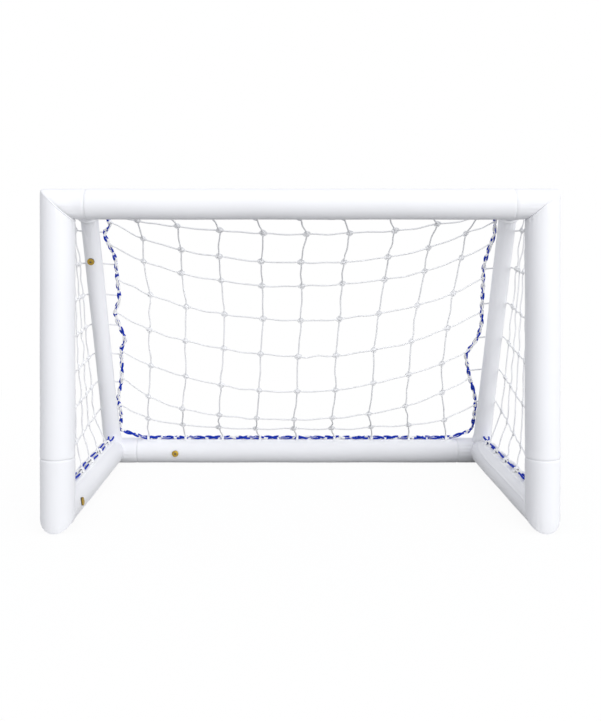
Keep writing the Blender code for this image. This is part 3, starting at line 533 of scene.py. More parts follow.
class Effects:
    """Shader node groups that several finishes share."""

    def __init__(self) -> None:
        """Make every group."""
        self.mottle = self._mottle()
        self.crumple = self._crumple()
        self.twist = self._twist()
        self.weave = self._weave()

    def _mottle(self) -> NodeTree:
        """Colour that drifts a little from place to place, and darker grime near the floor.

        Returns:
            The group.
        """
        group, g, given, result = new_group(
            "mottle", [("Vector", VECTOR, None), ("Colour", COLOUR, (1, 1, 1, 1)),
                       ("Scale", NUMBER, 6.0), ("Amount", NUMBER, 0.05),
                       ("Floor Grime", NUMBER, 0.1)],
            [("Colour", COLOUR), ("Value", NUMBER)])
        value = g.noise(given["Vector"], given["Scale"], 4.0, 0.55)
        centred = g.math("SUBTRACT", value, 0.5)
        shade = g.math("MULTIPLY_ADD", centred, given["Amount"], 1.0)
        split = g.node("ShaderNodeSeparateXYZ")
        g.feed(split.inputs[0], given["Vector"])
        near = g.node("ShaderNodeMapRange")
        g.feed(near.inputs["Value"], split.outputs["Z"])
        for label, number in (("From Min", 0.0), ("From Max", GRIME_TOP), ("To Min", 1.0),
                              ("To Max", 0.0)):
            near.inputs[label].default_value = number
        patches = g.math("MULTIPLY", near.outputs[0], value)
        grime = g.math("MULTIPLY", patches, given["Floor Grime"])
        shade = g.math("SUBTRACT", shade, grime)
        scaled = g.node("ShaderNodeVectorMath", operation="SCALE")
        g.feed(scaled.inputs[0], given["Colour"])
        g.feed(scaled.inputs["Scale"], shade)
        g.feed(result["Colour"], scaled.outputs[0])
        g.feed(result["Value"], value)
        return group

    def _crumple(self) -> NodeTree:
        """Height of slow dents in a blown-up skin with a fine grain on them.

        Returns:
            The group.
        """
        group, g, given, result = new_group(
            "crumple", [("Vector", VECTOR, None), ("Dent Scale", NUMBER, 14.0),
                        ("Grain Scale", NUMBER, 900.0), ("Grain", NUMBER, 0.1)],
            [("Height", NUMBER)])
        dents = g.noise(given["Vector"], given["Dent Scale"], 1.0, 0.4)
        grain = g.noise(given["Vector"], given["Grain Scale"], 2.0, 0.6)
        g.feed(result["Height"], g.math("MULTIPLY_ADD", grain, given["Grain"], dents))
        return group

    def _twist(self) -> NodeTree:
        """Yarns laid in a spiral round a cord, read from its UV: across u, along v in metres.

        Returns:
            The group.
        """
        group, g, given, result = new_group(
            "twist", [("UV", VECTOR, None), ("Yarns", NUMBER, 3.0), ("Lay", NUMBER, 0.012)],
            [("Height", NUMBER), ("Groove", NUMBER)])
        split = g.node("ShaderNodeSeparateXYZ")
        g.feed(split.inputs[0], given["UV"])
        turns = g.math("DIVIDE", split.outputs["Y"], given["Lay"])
        place = g.math("MULTIPLY", g.math("ADD", split.outputs["X"], turns), given["Yarns"])
        wave = g.math("COSINE", g.math("MULTIPLY", place, FULL_TURN))
        height = g.math("POWER", g.math("MULTIPLY_ADD", wave, 0.5, 0.5), 0.5)
        g.feed(result["Height"], height)
        # Groove, one less the height, is the mask for painted shade between yarns.
        g.feed(result["Groove"], g.math("SUBTRACT", 1.0, height))
        return group

    def _weave(self) -> NodeTree:
        """The faint square scrim that shows through a coated fabric.

        Returns:
            The group.
        """
        group, g, given, result = new_group(
            "scrim", [("Vector", VECTOR, None), ("Threads", NUMBER, 700.0)],
            [("Height", NUMBER)])
        waves = []
        for direction in ("X", "Y", "Z"):
            band = g.node("ShaderNodeTexWave", wave_type="BANDS", bands_direction=direction)
            g.feed(band.inputs["Vector"], given["Vector"])
            g.feed(band.inputs["Scale"], given["Threads"])
            waves.append(band.outputs["Fac"])
        g.feed(result["Height"], g.math("ADD", g.math("ADD", waves[0], waves[1]), waves[2]))
        return group


EFFECTS = Effects()


@dataclass(frozen=True)
class Finish:
    """A finish of one colour that each kind of surface builds on."""

    name: str
    colour: tuple[float, float, float]
    roughness: float
    metallic: float = 0.0
    specular: float = 0.5
    ior: float = 1.4


class Surface:
    """A finish's material while it is being made."""

    def __init__(self, finish: Finish) -> None:
        """Start the material and set its shader's own values.

        Args:
            finish: whose colour and values it has.
        """
        self.rgba = (*finish.colour, 1.0)
        self.material = bpy.data.materials.new(finish.name)
        self.material.use_nodes = True
        self.graph = Graph(self.material.node_tree)
        self.shader = self.material.node_tree.nodes["Principled BSDF"]
        for label, number in (("Metallic", finish.metallic), ("Roughness", finish.roughness),
                              ("Specular IOR Level", finish.specular), ("IOR", finish.ior)):
            self.shader.inputs[label].default_value = number
        self.where = self.graph.node("ShaderNodeTexCoord")

    def use(self, group: NodeTree, **values: Fed) -> Node:
        """A shared effect in this material.

        Args:
            group: the effect.
            values: its inputs, with _ for a space in a name.

        Returns:
            The effect's node.
        """
        made = self.graph.node("ShaderNodeGroup")
        made.node_tree = group
        for key, value in values.items():
            self.graph.feed(made.inputs[key.replace("_", " ")], value)
        return made

    def shade(self, scale: float, amount: float, grime: float = 0.0) -> Node:
        """The finish's colour with its mottle, as a node with outputs Colour and Value."""
        return self.use(EFFECTS.mottle, Vector=self.where.outputs["Object"],
                        Colour=self.rgba, Scale=scale, Amount=amount, Floor_Grime=grime)

    def dents(self, scale: float, grain_scale: float, grain: float) -> NodeSocket:
        """The height of slow dents with a grain on them.

        Args:
            scale: how many dents there are to a metre.
            grain_scale: how many grains there are to a metre.
            grain: the grain's share.

        Returns:
            The height.
        """
        made = self.use(EFFECTS.crumple, Vector=self.where.outputs["Object"],
                        Dent_Scale=scale, Grain_Scale=grain_scale, Grain=grain)
        return made.outputs["Height"]

    def complete(self, colour: NodeSocket, height: NodeSocket, strength: float,
                 distance: float, roughness: Optional[NodeSocket] = None) -> Material:
        """Feed the shader.

        Args:
            colour: the colour.
            height: the relief's height.
            strength: how strongly the relief shows.
            distance: how high its highest place is.
            roughness: the roughness, where it varies.

        Returns:
            The finished material.
        """
        g = self.graph
        g.feed(self.shader.inputs["Base Color"], colour)
        if roughness is not None:
            g.feed(self.shader.inputs["Roughness"], roughness)
        bump = g.node("ShaderNodeBump")
        bump.inputs["Strength"].default_value = strength
        bump.inputs["Distance"].default_value = distance
        g.feed(bump.inputs["Height"], height)
        g.feed(self.shader.inputs["Normal"], bump.outputs["Normal"])
        return self.material


@dataclass(frozen=True)
class CoatedFabric(Finish):
    """Coated fabric skin: soft satin sheen, slow dents, faint scrim and grime at the floor."""

    dent: float = 0.0010
    grime: float = 0.05
    scrim: float = 0.06

    def material(self) -> Material:
        """Mottled colour and sheen, with the scrim's relief on the dents'.

        Returns:
            The finished material.
        """
        on = Surface(self)
        g, shade = on.graph, on.shade(5.0, 0.035, self.grime)
        rough = g.math("MULTIPLY_ADD", shade.outputs["Value"], 0.16, self.roughness - 0.08)
        scrim = on.use(EFFECTS.weave, Vector=on.where.outputs["Object"], Threads=260.0)
        height = g.math("MULTIPLY_ADD", scrim.outputs["Height"], self.scrim * 0.1,
                        on.dents(11.0, 1500.0, 0.03))
        return on.complete(shade.outputs["Colour"], height, 0.35, self.dent, rough)


@dataclass(frozen=True)
class Twine(Finish):
    """Twisted white cord with painted shade in the grooves between its yarns."""

    yarns: float = 3.0
    lay: float = 0.011
    # Share by which painted shade darkens the grooves between yarns.
    painted_groove_shade: float = 0.14

    def material(self) -> Material:
        """Mottled colour with painted shade between the yarns, with the yarns' relief.

        Returns:
            The finished material.
        """
        on = Surface(self)
        lay = on.use(EFFECTS.twist, UV=on.where.outputs["UV"], Yarns=self.yarns, Lay=self.lay)
        # Painted shade: the colour darkened in the grooves, by the Groove mask.
        dark = (*(c * (1 - self.painted_groove_shade) for c in self.colour), 1.0)
        colour = on.graph.mix(lay.outputs["Groove"],
                                on.shade(60.0, 0.08, 0.05).outputs["Colour"], dark)
        return on.complete(colour, lay.outputs["Height"], 0.5, 0.0005)


@dataclass(frozen=True)
class FleckedRope(Finish):
    """White rope with tracer yarns of a second colour that surface in dashes."""

    fleck: tuple[float, float, float] = (0.006, 0.034, 0.44)
    fleck_pitch: float = 0.032
    fleck_share: float = 0.66
    fleck_width: float = 0.33
    fleck_lean: float = 0.10
    drift: float = 1.2

    def material(self) -> Material:
        """Flecks on mottled white, with painted shade in the yarns' grooves, and the yarns'
        relief.

        A place is a fleck where the fraction of (length / pitch + turn round the strand + a slow
        noise) is less than the fleck's share, and the place lies in one leaning band.

        Returns:
            The finished material.
        """
        on = Surface(self)
        g = on.graph
        split = g.node("ShaderNodeSeparateXYZ")
        g.feed(split.inputs[0], on.where.outputs["UV"])
        u, v = split.outputs["X"], split.outputs["Y"]
        drift = g.noise(on.where.outputs["Object"], 26.0, 1.0)
        turn = g.math("MULTIPLY_ADD", u, self.fleck_lean, g.math("MULTIPLY", drift, self.drift))
        place = g.math("ADD", g.math("DIVIDE", v, self.fleck_pitch), turn)
        along = g.math("LESS_THAN", g.math("FRACT", place), self.fleck_share)
        lean = g.math("MULTIPLY_ADD", v, 0.5 / self.fleck_pitch, u)
        band = g.math("ABSOLUTE", g.math("SUBTRACT", g.math("FRACT", lean), 0.5))
        mask = g.math("MULTIPLY", along, g.math("LESS_THAN", band, self.fleck_width))
        lay = on.use(EFFECTS.twist, UV=on.where.outputs["UV"], Yarns=4.0, Lay=0.016)
        colour = g.mix(mask, on.shade(80.0, 0.15).outputs["Colour"], (*self.fleck, 1.0))
        # Painted shade: grooves between yarns mixed a tenth of the way to dark navy.
        groove = g.math("MULTIPLY", lay.outputs["Groove"], 0.10)
        return on.complete(g.mix(groove, colour, (0.05, 0.06, 0.12, 1.0)),
                             lay.outputs["Height"], 0.5, 0.0006)


@dataclass(frozen=True)
class WornMetal(Finish):
    """Turned metal with fine scratches and duller patches."""

    patch: tuple[float, float, float] = (0.30, 0.20, 0.05)

    def material(self) -> Material:
        """Mottled metal whose sheen and relief vary.

        Returns:
            The finished material.
        """
        on = Surface(self)
        g, shade = on.graph, on.shade(220.0, 0.30)
        colour = g.mix(g.math("MULTIPLY", shade.outputs["Value"], 0.5),
                       shade.outputs["Colour"], (*self.patch, 1.0))
        rough = g.math("MULTIPLY_ADD", shade.outputs["Value"], 0.2, self.roughness - 0.1)
        return on.complete(colour, on.dents(600.0, 2500.0, 0.5), 0.3, 0.0001, rough)


@dataclass(frozen=True)
class MattRubber(Finish):
    """Dusty matt rubber."""

    def material(self) -> Material:
        """Mottled colour with fine dents.

        Returns:
            The finished material.
        """
        on = Surface(self)
        colour = on.shade(300.0, 0.5).outputs["Colour"]
        return on.complete(colour, on.dents(400.0, 2000.0, 0.6), 0.4, 0.0002)


class Finishes:
    """Every finish of the goal as a ready material."""

    def __init__(self) -> None:
        """Make every material."""
        self.skin = CoatedFabric("air_skin", (0.865, 0.870, 0.895), 0.50, specular=0.22).material()
        # Paler than the skin: partly the tape's own white, partly painted light for the elbow band
        # in shadow.
        self.tape = CoatedFabric("weld_tape", (0.93, 0.935, 0.95), 0.55, specular=0.2,
                                 dent=0.0004, scrim=0.3).material()
        self.twine = Twine("net_twine", (0.91, 0.915, 0.93), 0.8, specular=0.12).material()
        self.rope, self.rear_rope, self.laid_rope = (
            FleckedRope(name, (0.92, 0.92, 0.92), 0.75, specular=0.15, **flecks).material()
            for name, flecks in (
                ("flecked_rope", {}),
                ("rear_flecked_rope", {"fleck_pitch": 0.045, "fleck_share": 0.80,
                                       "fleck_width": 0.47}),
                ("laid_flecked_rope", {"fleck_pitch": 0.120, "fleck_share": 0.63,
                                       "fleck_width": 0.5, "fleck_lean": 0.06, "drift": 0.25})))
        self.brass = WornMetal("valve_brass", (0.44, 0.29, 0.045), 0.36, 1.0).material()
        self.core = WornMetal("valve_core_metal", (0.20, 0.18, 0.16), 0.45, 1.0,
                              patch=(0.08, 0.07, 0.06)).material()
        self.rubber = MattRubber("valve_rubber", (0.06, 0.06, 0.065), 0.8).material()


# Air tubes

# Distances of a tube's rings from either cut, crowded where the relief is.
NEAR_RINGS = np.array((0.0, 0.0008, 0.0016, 0.0024, 0.0034, 0.0044, 0.0054, 0.0063, 0.0073,
                       0.009, 0.012, 0.016, 0.020, 0.025, 0.030, 0.036, 0.043))
# Puckers: folds round the tube, their reach and its range, the flat strip beside the weld, and
# the share left of them where they are weakest.
FOLD_COUNTS = (7, 11, 17, 23)
FOLD_REACH, FOLD_REACH_RANGE = 0.010, 0.012
WELD_FLAT = 0.004
WEAKEST_FOLDS = 0.25
# A bead's ridge and the groove behind it, each as distance from the mitre and width.
BEAD_RIDGE, BEAD_GROOVE, GROOVE_SHARE = (0.0030, 0.0018), (0.0064, 0.0009), 0.8
# Slow waves of the whole skin: length over a full turn, depth and the calm stretch at each end.
SLOW_WAVE, SLOW_DEPTH, CALM_END = 0.051, 0.00025, 0.02
RING_WELD = {"pinch": 0.0011, "pinch_width": 0.0020}
CORNER_BEAD = {Side.LEFT: 0.0013, Side.RIGHT: 0.0005}
# The ground tube's lengthwise weld: angle, swing at the rear end, reach, width and height.
WELD_ANGLE = {Side.LEFT: math.radians(208), Side.RIGHT: math.radians(149)}
WELD_SWING, WELD_REACH, WELD_WIDTH, WELD_HEIGHT = math.radians(45), 0.06, 0.036, 0.0017
# The strut's tuck: its angle and width, then depth and length as (whole front, more at the angle).
TUCK_ANGLE = {Side.LEFT: math.radians(282), Side.RIGHT: math.radians(218)}
TUCK_FRONT, TUCK_WIDTH = math.radians(268), 0.60
TUCK_DEPTH, TUCK_LENGTH = (0.0034, 0.0036), (0.0035, 0.0120)


@dataclass(frozen=True)
class Cut:
    """The flat end of a tube: a point of its plane and the plane's normal."""

    point: Array
    normal: Array


@dataclass
class AirTube:
    """A length of blown-up skin between two cuts, as an outer and an inner wall.

    A point of the wall is centre + across * ra * cos a + up * ru * sin a, slid along the run to
    its share v of the way between the two cuts. The outer wall gets the relief: a pinch where it
    is welded, and puckers that fade with the distance from a mitre.
    """

    name: str
    centre: Array
    run: Array
    across: Array
    up: Array
    radii: Radii
    first: Cut
    last: Cut
    puckers: tuple[float, float] = (0.0, 0.0)
    bead: float = 0.0
    pucker_angle: float = 0.0
    pinch: float = 0.0008
    pinch_width: float = 0.0035
    seed: int = 1
    sides: int = 96
    on_floor: bool = False
    finer: Optional[Reshape] = None
    length_step: float = 0.012
    stations: Array = field(init=False)

    def __post_init__(self) -> None:
        """Choose rings that crowd near the two ends, where the relief is."""
        length = abs(float((self.last.point - self.first.point) @ self.run))
        near = NEAR_RINGS[NEAR_RINGS < length * 0.45] / length
        count = max(2, int((1 - 2 * near[-1]) * length / self.length_step))
        middle = np.linspace(near[-1], 1 - near[-1], count + 1)[1:-1]
        self.stations = np.concatenate([near, middle, 1 - near[::-1]])

    def wall(self, stations: Array, inset: float) -> tuple[Array, Array, Array, Array]:
        """The wall without its relief.

        Args:
            stations: the rings' shares of the way between the cuts.
            inset: how far the wall lies inside the skin's face.

        Returns:
            Its points, their angles, and their distances to the first and to the last cut.
        """
        angle = (np.arange(self.sides) + 0.5) * FULL_TURN / self.sides
        ra, ru = (np.broadcast_to(r, stations.shape)[:, None, None] - inset
                  for r in self.radii(stations))
        cos, sin = np.cos(angle)[None, :, None], np.sin(angle)[None, :, None]
        offset = self.across * ra * cos + self.up * ru * sin
        ends = [((cut.point - (self.centre + offset[ring])) @ cut.normal) / (self.run @ cut.normal)
                for cut, ring in ((self.first, 0), (self.last, -1))]
        share = stations[:, None]
        slid = ends[0] + (ends[1] - ends[0]) * share
        points = self.centre + offset + self.run * slid[:, :, None]
        length = np.abs(ends[1] - ends[0])
        return points, angle, length * share, length * (1 - share)

    def relief(self, angle: Array, to_first: Array, to_last: Array) -> Array:
        """How far the skin lies below the plain tube.

        The relief is a pinch at each weld, puckers that fade as exp(-distance / reach), a bead
        beside the last cut, and slow waves.

        Args:
            angle: the points' angles.
            to_first: their distances to the first cut.
            to_last: their distances to the last cut.

        Returns:
            The depths.
        """
        random = np.random.default_rng(self.seed)
        below = self.pinch * (bell(to_first, self.pinch_width) + bell(to_last, self.pinch_width))
        facing = (0.5 + 0.5 * np.cos(angle - self.pucker_angle)) ** 2
        inner = WEAKEST_FOLDS + (1 - WEAKEST_FOLDS) * facing
        for distance, depth in ((to_first, self.puckers[0]), (to_last, self.puckers[1])):
            folds = np.zeros_like(angle)
            for count in FOLD_COUNTS:
                folds += np.maximum(0.0, np.cos(count * angle + random.uniform(0, FULL_TURN))) ** 2
            reach = FOLD_REACH + FOLD_REACH_RANGE * random.random()
            below = below + depth * folds * inner * np.exp(-distance / reach) * (
                1 - bell(distance, WELD_FLAT))
        ridge, groove = (bell(to_last - place, width)
                         for place, width in (BEAD_RIDGE, BEAD_GROOVE))
        below = below - self.bead * inner * (ridge - GROOVE_SHARE * groove)
        slow = np.sin(to_first / SLOW_WAVE + 2.1 * np.sin(angle) + random.uniform(0, 6))
        calm = np.minimum(1.0, np.minimum(to_first, to_last) / CALM_END)
        return below + SLOW_DEPTH * slow * calm

    def rings(self) -> Array:
        """Outer rings from end to end and inner rings back, for a closed hollow shell.

        Returns:
            The rings.
        """
        outer, angle, to_first, to_last = self.wall(self.stations, 0.0)
        outward = unit(turned(angle, self.across, self.up))
        outer = outer - outward * self.relief(angle, to_first, to_last)[:, :, None]
        if self.finer is not None:
            outer = self.finer(outer, angle, to_first, to_last)
        few = self.stations[[0, 6, len(self.stations) // 2, -7, -1]]
        inner = self.wall(few, SIZE.skin + self.pinch)[0]
        if self.on_floor:
            outer[..., 2] = np.maximum(outer[..., 2], 0.0)
            inner[..., 2] = np.maximum(inner[..., 2], SIZE.skin)
        return np.concatenate([outer, inner[::-1]])

    def build(self, material: Material, side: Optional[Side] = None) -> Object:
        """The finished tube, which stands for the CAD node of the same name.

        Args:
            material: its finish.
            side: its side of the goal, if it has one.

        Returns:
            The tube.
        """
        rings, node = self.rings(), self.name
        if side is not None:
            rings, node = side.place(rings), side.named(self.name)
        shells = Shells()
        shells.add(rings, looped=True)
        return shells.build(node, "skin", material, "white_skin")


def constant(radius: float) -> Radii:
    """Radii that stay the same along a tube."""
    return lambda stations: (np.full_like(stations, radius),) * 2


def ease(t: Array) -> Array:
    """A smooth step from 0 to 1: t * t * (3 - 2 * t), with t held between them."""
    t = np.clip(t, 0.0, 1.0)
    return t * t * (3 - 2 * t)


def eased(across: tuple[float, float], up: tuple[float, float], start: float, end: float) -> Radii:
    """Radii, each given as (from, to), that change smoothly between two shares of the length."""
    return lambda stations: tuple(a + (b - a) * ease((stations - start) / (end - start))
                                  for a, b in (across, up))


@dataclass
class Skins:
    """All the lengths of air tube with their mitres, saddles and welds."""

    size: GoalSize
    finishes: Finishes
    band_half: float = 0.0034
    band_height: float = 0.0056
    band_spread: float = 1.9
    tip_start: float = 0.0440
    tip_room: float = 0.0070

    def build(self) -> None:
        """Every skin of the frame."""
        self.straight_bars()
        for side in Side:
            self.front_corner(side)
            self.floor_tubes(side)
            self.back_leg(side)

    def straight_bars(self) -> None:
        """The crossbar's and the rear bar's middle lengths, between ring seams."""
        s = self.size
        for name, y, z, radius, reach in (
                ("crossbar", s.front_y, s.crossbar_z, s.crossbar_r,
                 s.post_x - s.crossbar_seam_inset),
                ("rear_bar", s.rear_y, s.base_z, s.base_r, s.post_x - s.rear_seam_inset)):
            reach -= s.seam_gap / 2
            AirTube(name, np.array((0.0, y, z)), X_AXIS, Y_AXIS, Z_AXIS, constant(radius),
                    Cut(np.array((-reach, y, z)), X_AXIS), Cut(np.array((reach, y, z)), X_AXIS),
                    pinch=0.0012, pinch_width=0.0019, seed=3, on_floor=name == "rear_bar"
                    ).build(self.finishes.skin)

    def round_tip(self, points: Array, *_: Array) -> Array:
        """Pull in the sharp outer tip where crossbar and post meet.

        A point's reach t is measured along the mitre towards the tip; past t0 it becomes
        t0 + room * (1 - exp(-(t - t0) / room)).

        Args:
            points: the outer rings.

        Returns:
            The rings with the tip pulled in.
        """
        s, room = self.size, self.tip_room
        towards = np.array((s.post_r, 0.0, s.crossbar_r)) / math.hypot(s.post_r, s.crossbar_r)
        over = np.maximum((points - s.corner) @ towards - self.tip_start, 0.0)
        return points - ((over - room * (1 - np.exp(-over / room)))[..., None] * towards)

    def front_corner(self, side: Side) -> None:
        """The crossbar's end piece, the post and the post's foot, with their mitres.

        Args:
            side: which corner.
        """
        s, skin, half_gap = self.size, self.finishes.skin, self.size.seam_gap / 2
        normal = np.array((-s.crossbar_r, 0.0, s.post_r)) / math.hypot(s.crossbar_r, s.post_r)
        seam = s.corner - X_AXIS * (s.crossbar_seam_inset - half_gap)
        AirTube("crossbar_stub", s.corner, X_AXIS, Y_AXIS, Z_AXIS,
                eased((s.crossbar_r, s.post_r), (s.crossbar_r, s.crossbar_r), 0.3, 0.95),
                Cut(seam, X_AXIS), Cut(s.corner + normal * half_gap, normal),
                puckers=(0.0, 0.0011), pucker_angle=-math.pi / 2, seed=11 + side.value,
                finer=self.round_tip).build(skin, side)
        ring = np.array((s.post_x, s.front_y, s.post_seam_z + half_gap))
        AirTube("post", s.corner, Z_AXIS, Y_AXIS, X_AXIS, constant(s.post_r),
                Cut(ring, Z_AXIS), Cut(s.corner - normal * half_gap, normal),
                puckers=(0.0, 0.0010), pucker_angle=-math.pi / 2, seed=21 + side.value,
                finer=self.round_tip, bead=CORNER_BEAD[side], **RING_WELD).build(skin, side)
        AirTube("post_foot", s.heel, Z_AXIS, X_AXIS, Y_AXIS, constant(s.post_r),
                Cut(s.heel + s.heel_normal * half_gap, s.heel_normal),
                Cut(ring - Z_AXIS * s.seam_gap, Z_AXIS),
                puckers=(0.0012, 0.0), pucker_angle=math.pi / 2, seed=31 + side.value,
                on_floor=True, **RING_WELD).build(skin, side)

    def floor_tubes(self, side: Side) -> None:
        """The ground tube and the rear bar's end piece, mitred at the rear corner.

        Args:
            side: which corner.
        """
        s, skin, half_gap = self.size, self.finishes.skin, self.size.seam_gap / 2
        rear, normal = s.rear_corner, np.array((1.0, -1.0, 0.0)) / math.sqrt(2)
        flare = s.heel_flare / (s.rear_y - s.front_y)
        AirTube("ground_tube", s.heel, Y_AXIS, X_AXIS, Z_AXIS,
                eased((s.post_r, s.base_r), (s.base_r, s.base_r), 0.0, flare),
                Cut(s.heel - s.heel_normal * half_gap, s.heel_normal),
                Cut(rear + normal * half_gap, normal),
                puckers=(0.0012, 0.0013), pucker_angle=math.pi * 0.75, seed=41 + side.value,
                on_floor=True, finer=partial(self.weld_line, side)).build(skin, side)
        seam = rear - X_AXIS * (s.rear_seam_inset - half_gap)
        AirTube("rear_stub", rear, X_AXIS, Y_AXIS, Z_AXIS, constant(s.base_r),
                Cut(seam, X_AXIS), Cut(rear - normal * half_gap, normal),
                puckers=(0.0, 0.0012), pucker_angle=math.pi * 0.8, seed=51 + side.value,
                on_floor=True).build(skin, side)

    def weld_line(self, side: Side, points: Array, angle: Array, _: Array, to_last: Array
                  ) -> Array:
        """The lengthwise weld on a ground tube's inner side, a ridge under two millimetres high.

        Its angle is A - swing * exp(-t / reach) at the distance t from the tube's rear end, and
        A is lower on the left tube than on the right one.

        Args:
            side: which ground tube.
            points: its outer rings.
            angle: their angles.
            to_last: their distances to the rear end.

        Returns:
            The rings with the ridge.
        """
        s = self.size
        place = WELD_ANGLE[side] - WELD_SWING * np.exp(-to_last / WELD_REACH)
        ridge = WELD_HEIGHT * bell(angle - place, WELD_WIDTH)
        centre = points * Y_AXIS + (s.post_x, 0.0, s.base_z)
        return points + unit(points - centre) * ridge[..., None]

    def back_leg(self, side: Side) -> None:
        """The top arm, the strut and the weld band round their elbow.

        Args:
            side: which leg.
        """
        s, skin = self.size, self.finishes.skin
        gap = s.elbow_normal * s.seam_gap / 2
        arm_start = s.elbow - Y_AXIS * s.arm_reach
        AirTube("top_arm", arm_start, Y_AXIS, X_AXIS, Z_AXIS,
                eased((s.strut_r + 0.004, s.strut_r), (s.strut_r + 0.003, s.strut_r), 0.0, 0.16),
                Cut(arm_start + Y_AXIS * 0.01, Y_AXIS), Cut(s.elbow - gap, s.elbow_normal),
                puckers=(0.0, 0.0014), pucker_angle=-math.pi / 2, seed=61 + side.value,
                sides=72, finer=self.arm_root).build(skin, side)
        AirTube("strut", s.elbow, s.strut_run, X_AXIS, s.strut_up,
                eased((s.strut_r, s.strut_r + 0.0055), (s.strut_r, s.strut_r + 0.0035),
                      0.945, 1.0),
                Cut(s.elbow + gap, s.elbow_normal), Cut(s.rear_corner, s.strut_run),
                puckers=(0.0012, 0.0), pucker_angle=-math.pi / 2, seed=71 + side.value,
                sides=72, finer=partial(self.strut_foot, side)).build(skin, side)
        self.elbow_band(side)

    def arm_root(self, points: Array, *_: Array) -> Array:
        """Lay the arm's root on the back of the mitred corner.

        The first rings' distance back is the corner's own, and the change fades out along the
        arm: back = FRONT + sqrt(R^2 - (x - X)^2) under the mitre and the same with the
        crossbar's radius above it.

        Args:
            points: the outer rings.

        Returns:
            The rings with the root laid on the corner.
        """
        s = self.size
        x, z = points[0, :, 0], points[0, :, 2]
        low = z < s.crossbar_z + (x - s.post_x) * s.crossbar_r / s.post_r
        post = np.sqrt(np.maximum(s.post_r ** 2 - (x - s.post_x) ** 2, 0.0))
        bar = np.sqrt(np.maximum((s.crossbar_r + 0.0025) ** 2 - (z - s.crossbar_z) ** 2, 0.0))
        back = s.front_y + np.where(low, post, bar) - 0.0004
        length = points[-1, :, 1] - points[0, :, 1]
        share = (points[..., 1] - points[0, :, 1]) / length
        points[..., 1] = back + (points[-1, :, 1] - back) * share
        return points

    def strut_foot(self, side: Side, points: Array, angle: Array, to_first: Array,
                   to_last: Array) -> Array:
        """Lay the strut's foot on the mitred rear corner and tuck its front below the elbow.

        Each line of points is stretched along the strut so that it ends on the nearer of the
        ground tube and the rear bar. The tuck's depth at a distance t below the seam is
        D (t / a) exp(1 - t / a), deepest and longest at one angle, which differs by side.

        Args:
            side: which strut.
            points: its outer rings.
            angle: their angles.
            to_first: their distances to the elbow.
            to_last: their distances to the foot.

        Returns:
            The new rings.
        """
        s = self.size
        run, foot, reach = s.strut_run, points[-1], s.base_r + 0.0004
        out = foot[:, 0] - s.post_x
        along_ground = (s.base_z + np.sqrt(reach ** 2 - out ** 2) - foot[:, 2]) / run[2]
        away = foot[:, 1:] - s.rear_corner[1:]
        half = away @ run[1:]
        to_bar = -half - np.sqrt(np.maximum(half ** 2 - (away ** 2).sum(1) + reach ** 2, 0))
        ground_hit = foot + run * along_ground[:, None]
        shift = np.where(ground_hit[:, 1] - s.rear_y < out, along_ground, to_bar)
        points = points + run * (shift * to_first / (to_first[-1] + to_last[-1]))[..., None]
        focus = bell(angle - TUCK_ANGLE[side], TUCK_WIDTH)
        front = np.clip(np.cos(angle - TUCK_FRONT) * 1.6, 0, 1) ** 0.7
        depth = TUCK_DEPTH[0] * front + TUCK_DEPTH[1] * focus
        share = to_first / (TUCK_LENGTH[0] + TUCK_LENGTH[1] * focus)
        outward = unit(turned(angle, X_AXIS, s.strut_up))
        return points - outward * (depth * share * np.exp(1 - share))[:, :, None]

    def band_ring(self, share: float, height: float) -> Array:
        """One ring of the weld band, which lies on the arm or on the strut.

        Args:
            share: its place across the band, from -1 to 1.
            height: its height above the skin.

        Returns:
            The ring's points.
        """
        s = self.size
        angle = (np.arange(96) + 0.5) * FULL_TURN / 96
        run, up = (Y_AXIS, Z_AXIS) if share < 0 else (s.strut_run, s.strut_up)
        wide = s.strut_r + height * self.band_spread
        base = s.elbow + turned(angle, wide * X_AXIS, (s.strut_r + height) * up)
        middle = s.elbow + s.elbow_normal * self.band_half * share
        slid = ((middle - base) @ s.elbow_normal) / (run @ s.elbow_normal)
        return base + slid[:, None] * run

    def elbow_band(self, side: Side) -> None:
        """The weld band round the elbow: a low raised lens across the mitre.

        Its height above the skin is gap + H * sqrt(1 - t^2) with t from -1 to 1 across the band,
        and more to the sides.

        Args:
            side: which elbow.
        """
        across = np.linspace(-1.0, 1.0, 13)
        outer = [self.band_ring(t, self.size.seam_gap + self.band_height * math.sqrt(1 - t * t))
                 for t in across]
        inner = [self.band_ring(t, -0.0008) for t in across]
        shells = Shells()
        shells.add(side.place(np.array(outer + inner[::-1])), looped=True)
        # Its tape finish is paler than the skin, partly painted light on this shaded band.
        shells.build(side.named("elbow_band"), "weld", self.finishes.tape, "weld_tape")


# Lacing

# A loop's foot, from its tip inwards: distance beside the bend and height above the strip.
LOOP_FOOT = np.array(((0.0042, 0.0), (0.0022, 0.0), (0.0007, 0.0008)))
# The webbing's section, in halves of its width and of its thickness.
WEBBING = np.array(((-1, -0.6), (-0.96, -1), (0.96, -1), (1, -0.6), (1, 0.6), (0.96, 1),
                    (-0.96, 1), (-1, 0.6)))
LOOP_MARGIN = 0.020
# A strip's edge: its waves' lengths, its rounded ends, and how it lies lower near a loop.
WANDER_SCALES = (0.021, 0.047)
END_ROUND, END_START = 0.004, 0.55
LOW_REACH, LOW_SHARE = 0.020, 0.35
# Where the strips end: short of the seams, and of the corners or the floor on both sides.
BAR_ENDS = {"crossbar": 0.024, "rear": 0.015}
SIDE_ENDS = {"ground": (0.100, 0.0678), "post": (0.130, 0.0512), "arm": (0.060, 0.027)}
# The straight ropes: how far they stand out of their strips' ends, lift, sway and its length.
PROUD_CROSSBAR, PROUD_SIDE = 0.014, -0.002
ROPE_LIFT, ROPE_SWAY, SWAY_SCALE = 0.0009, 0.0008, 0.013
FINE_STEP = 0.0030


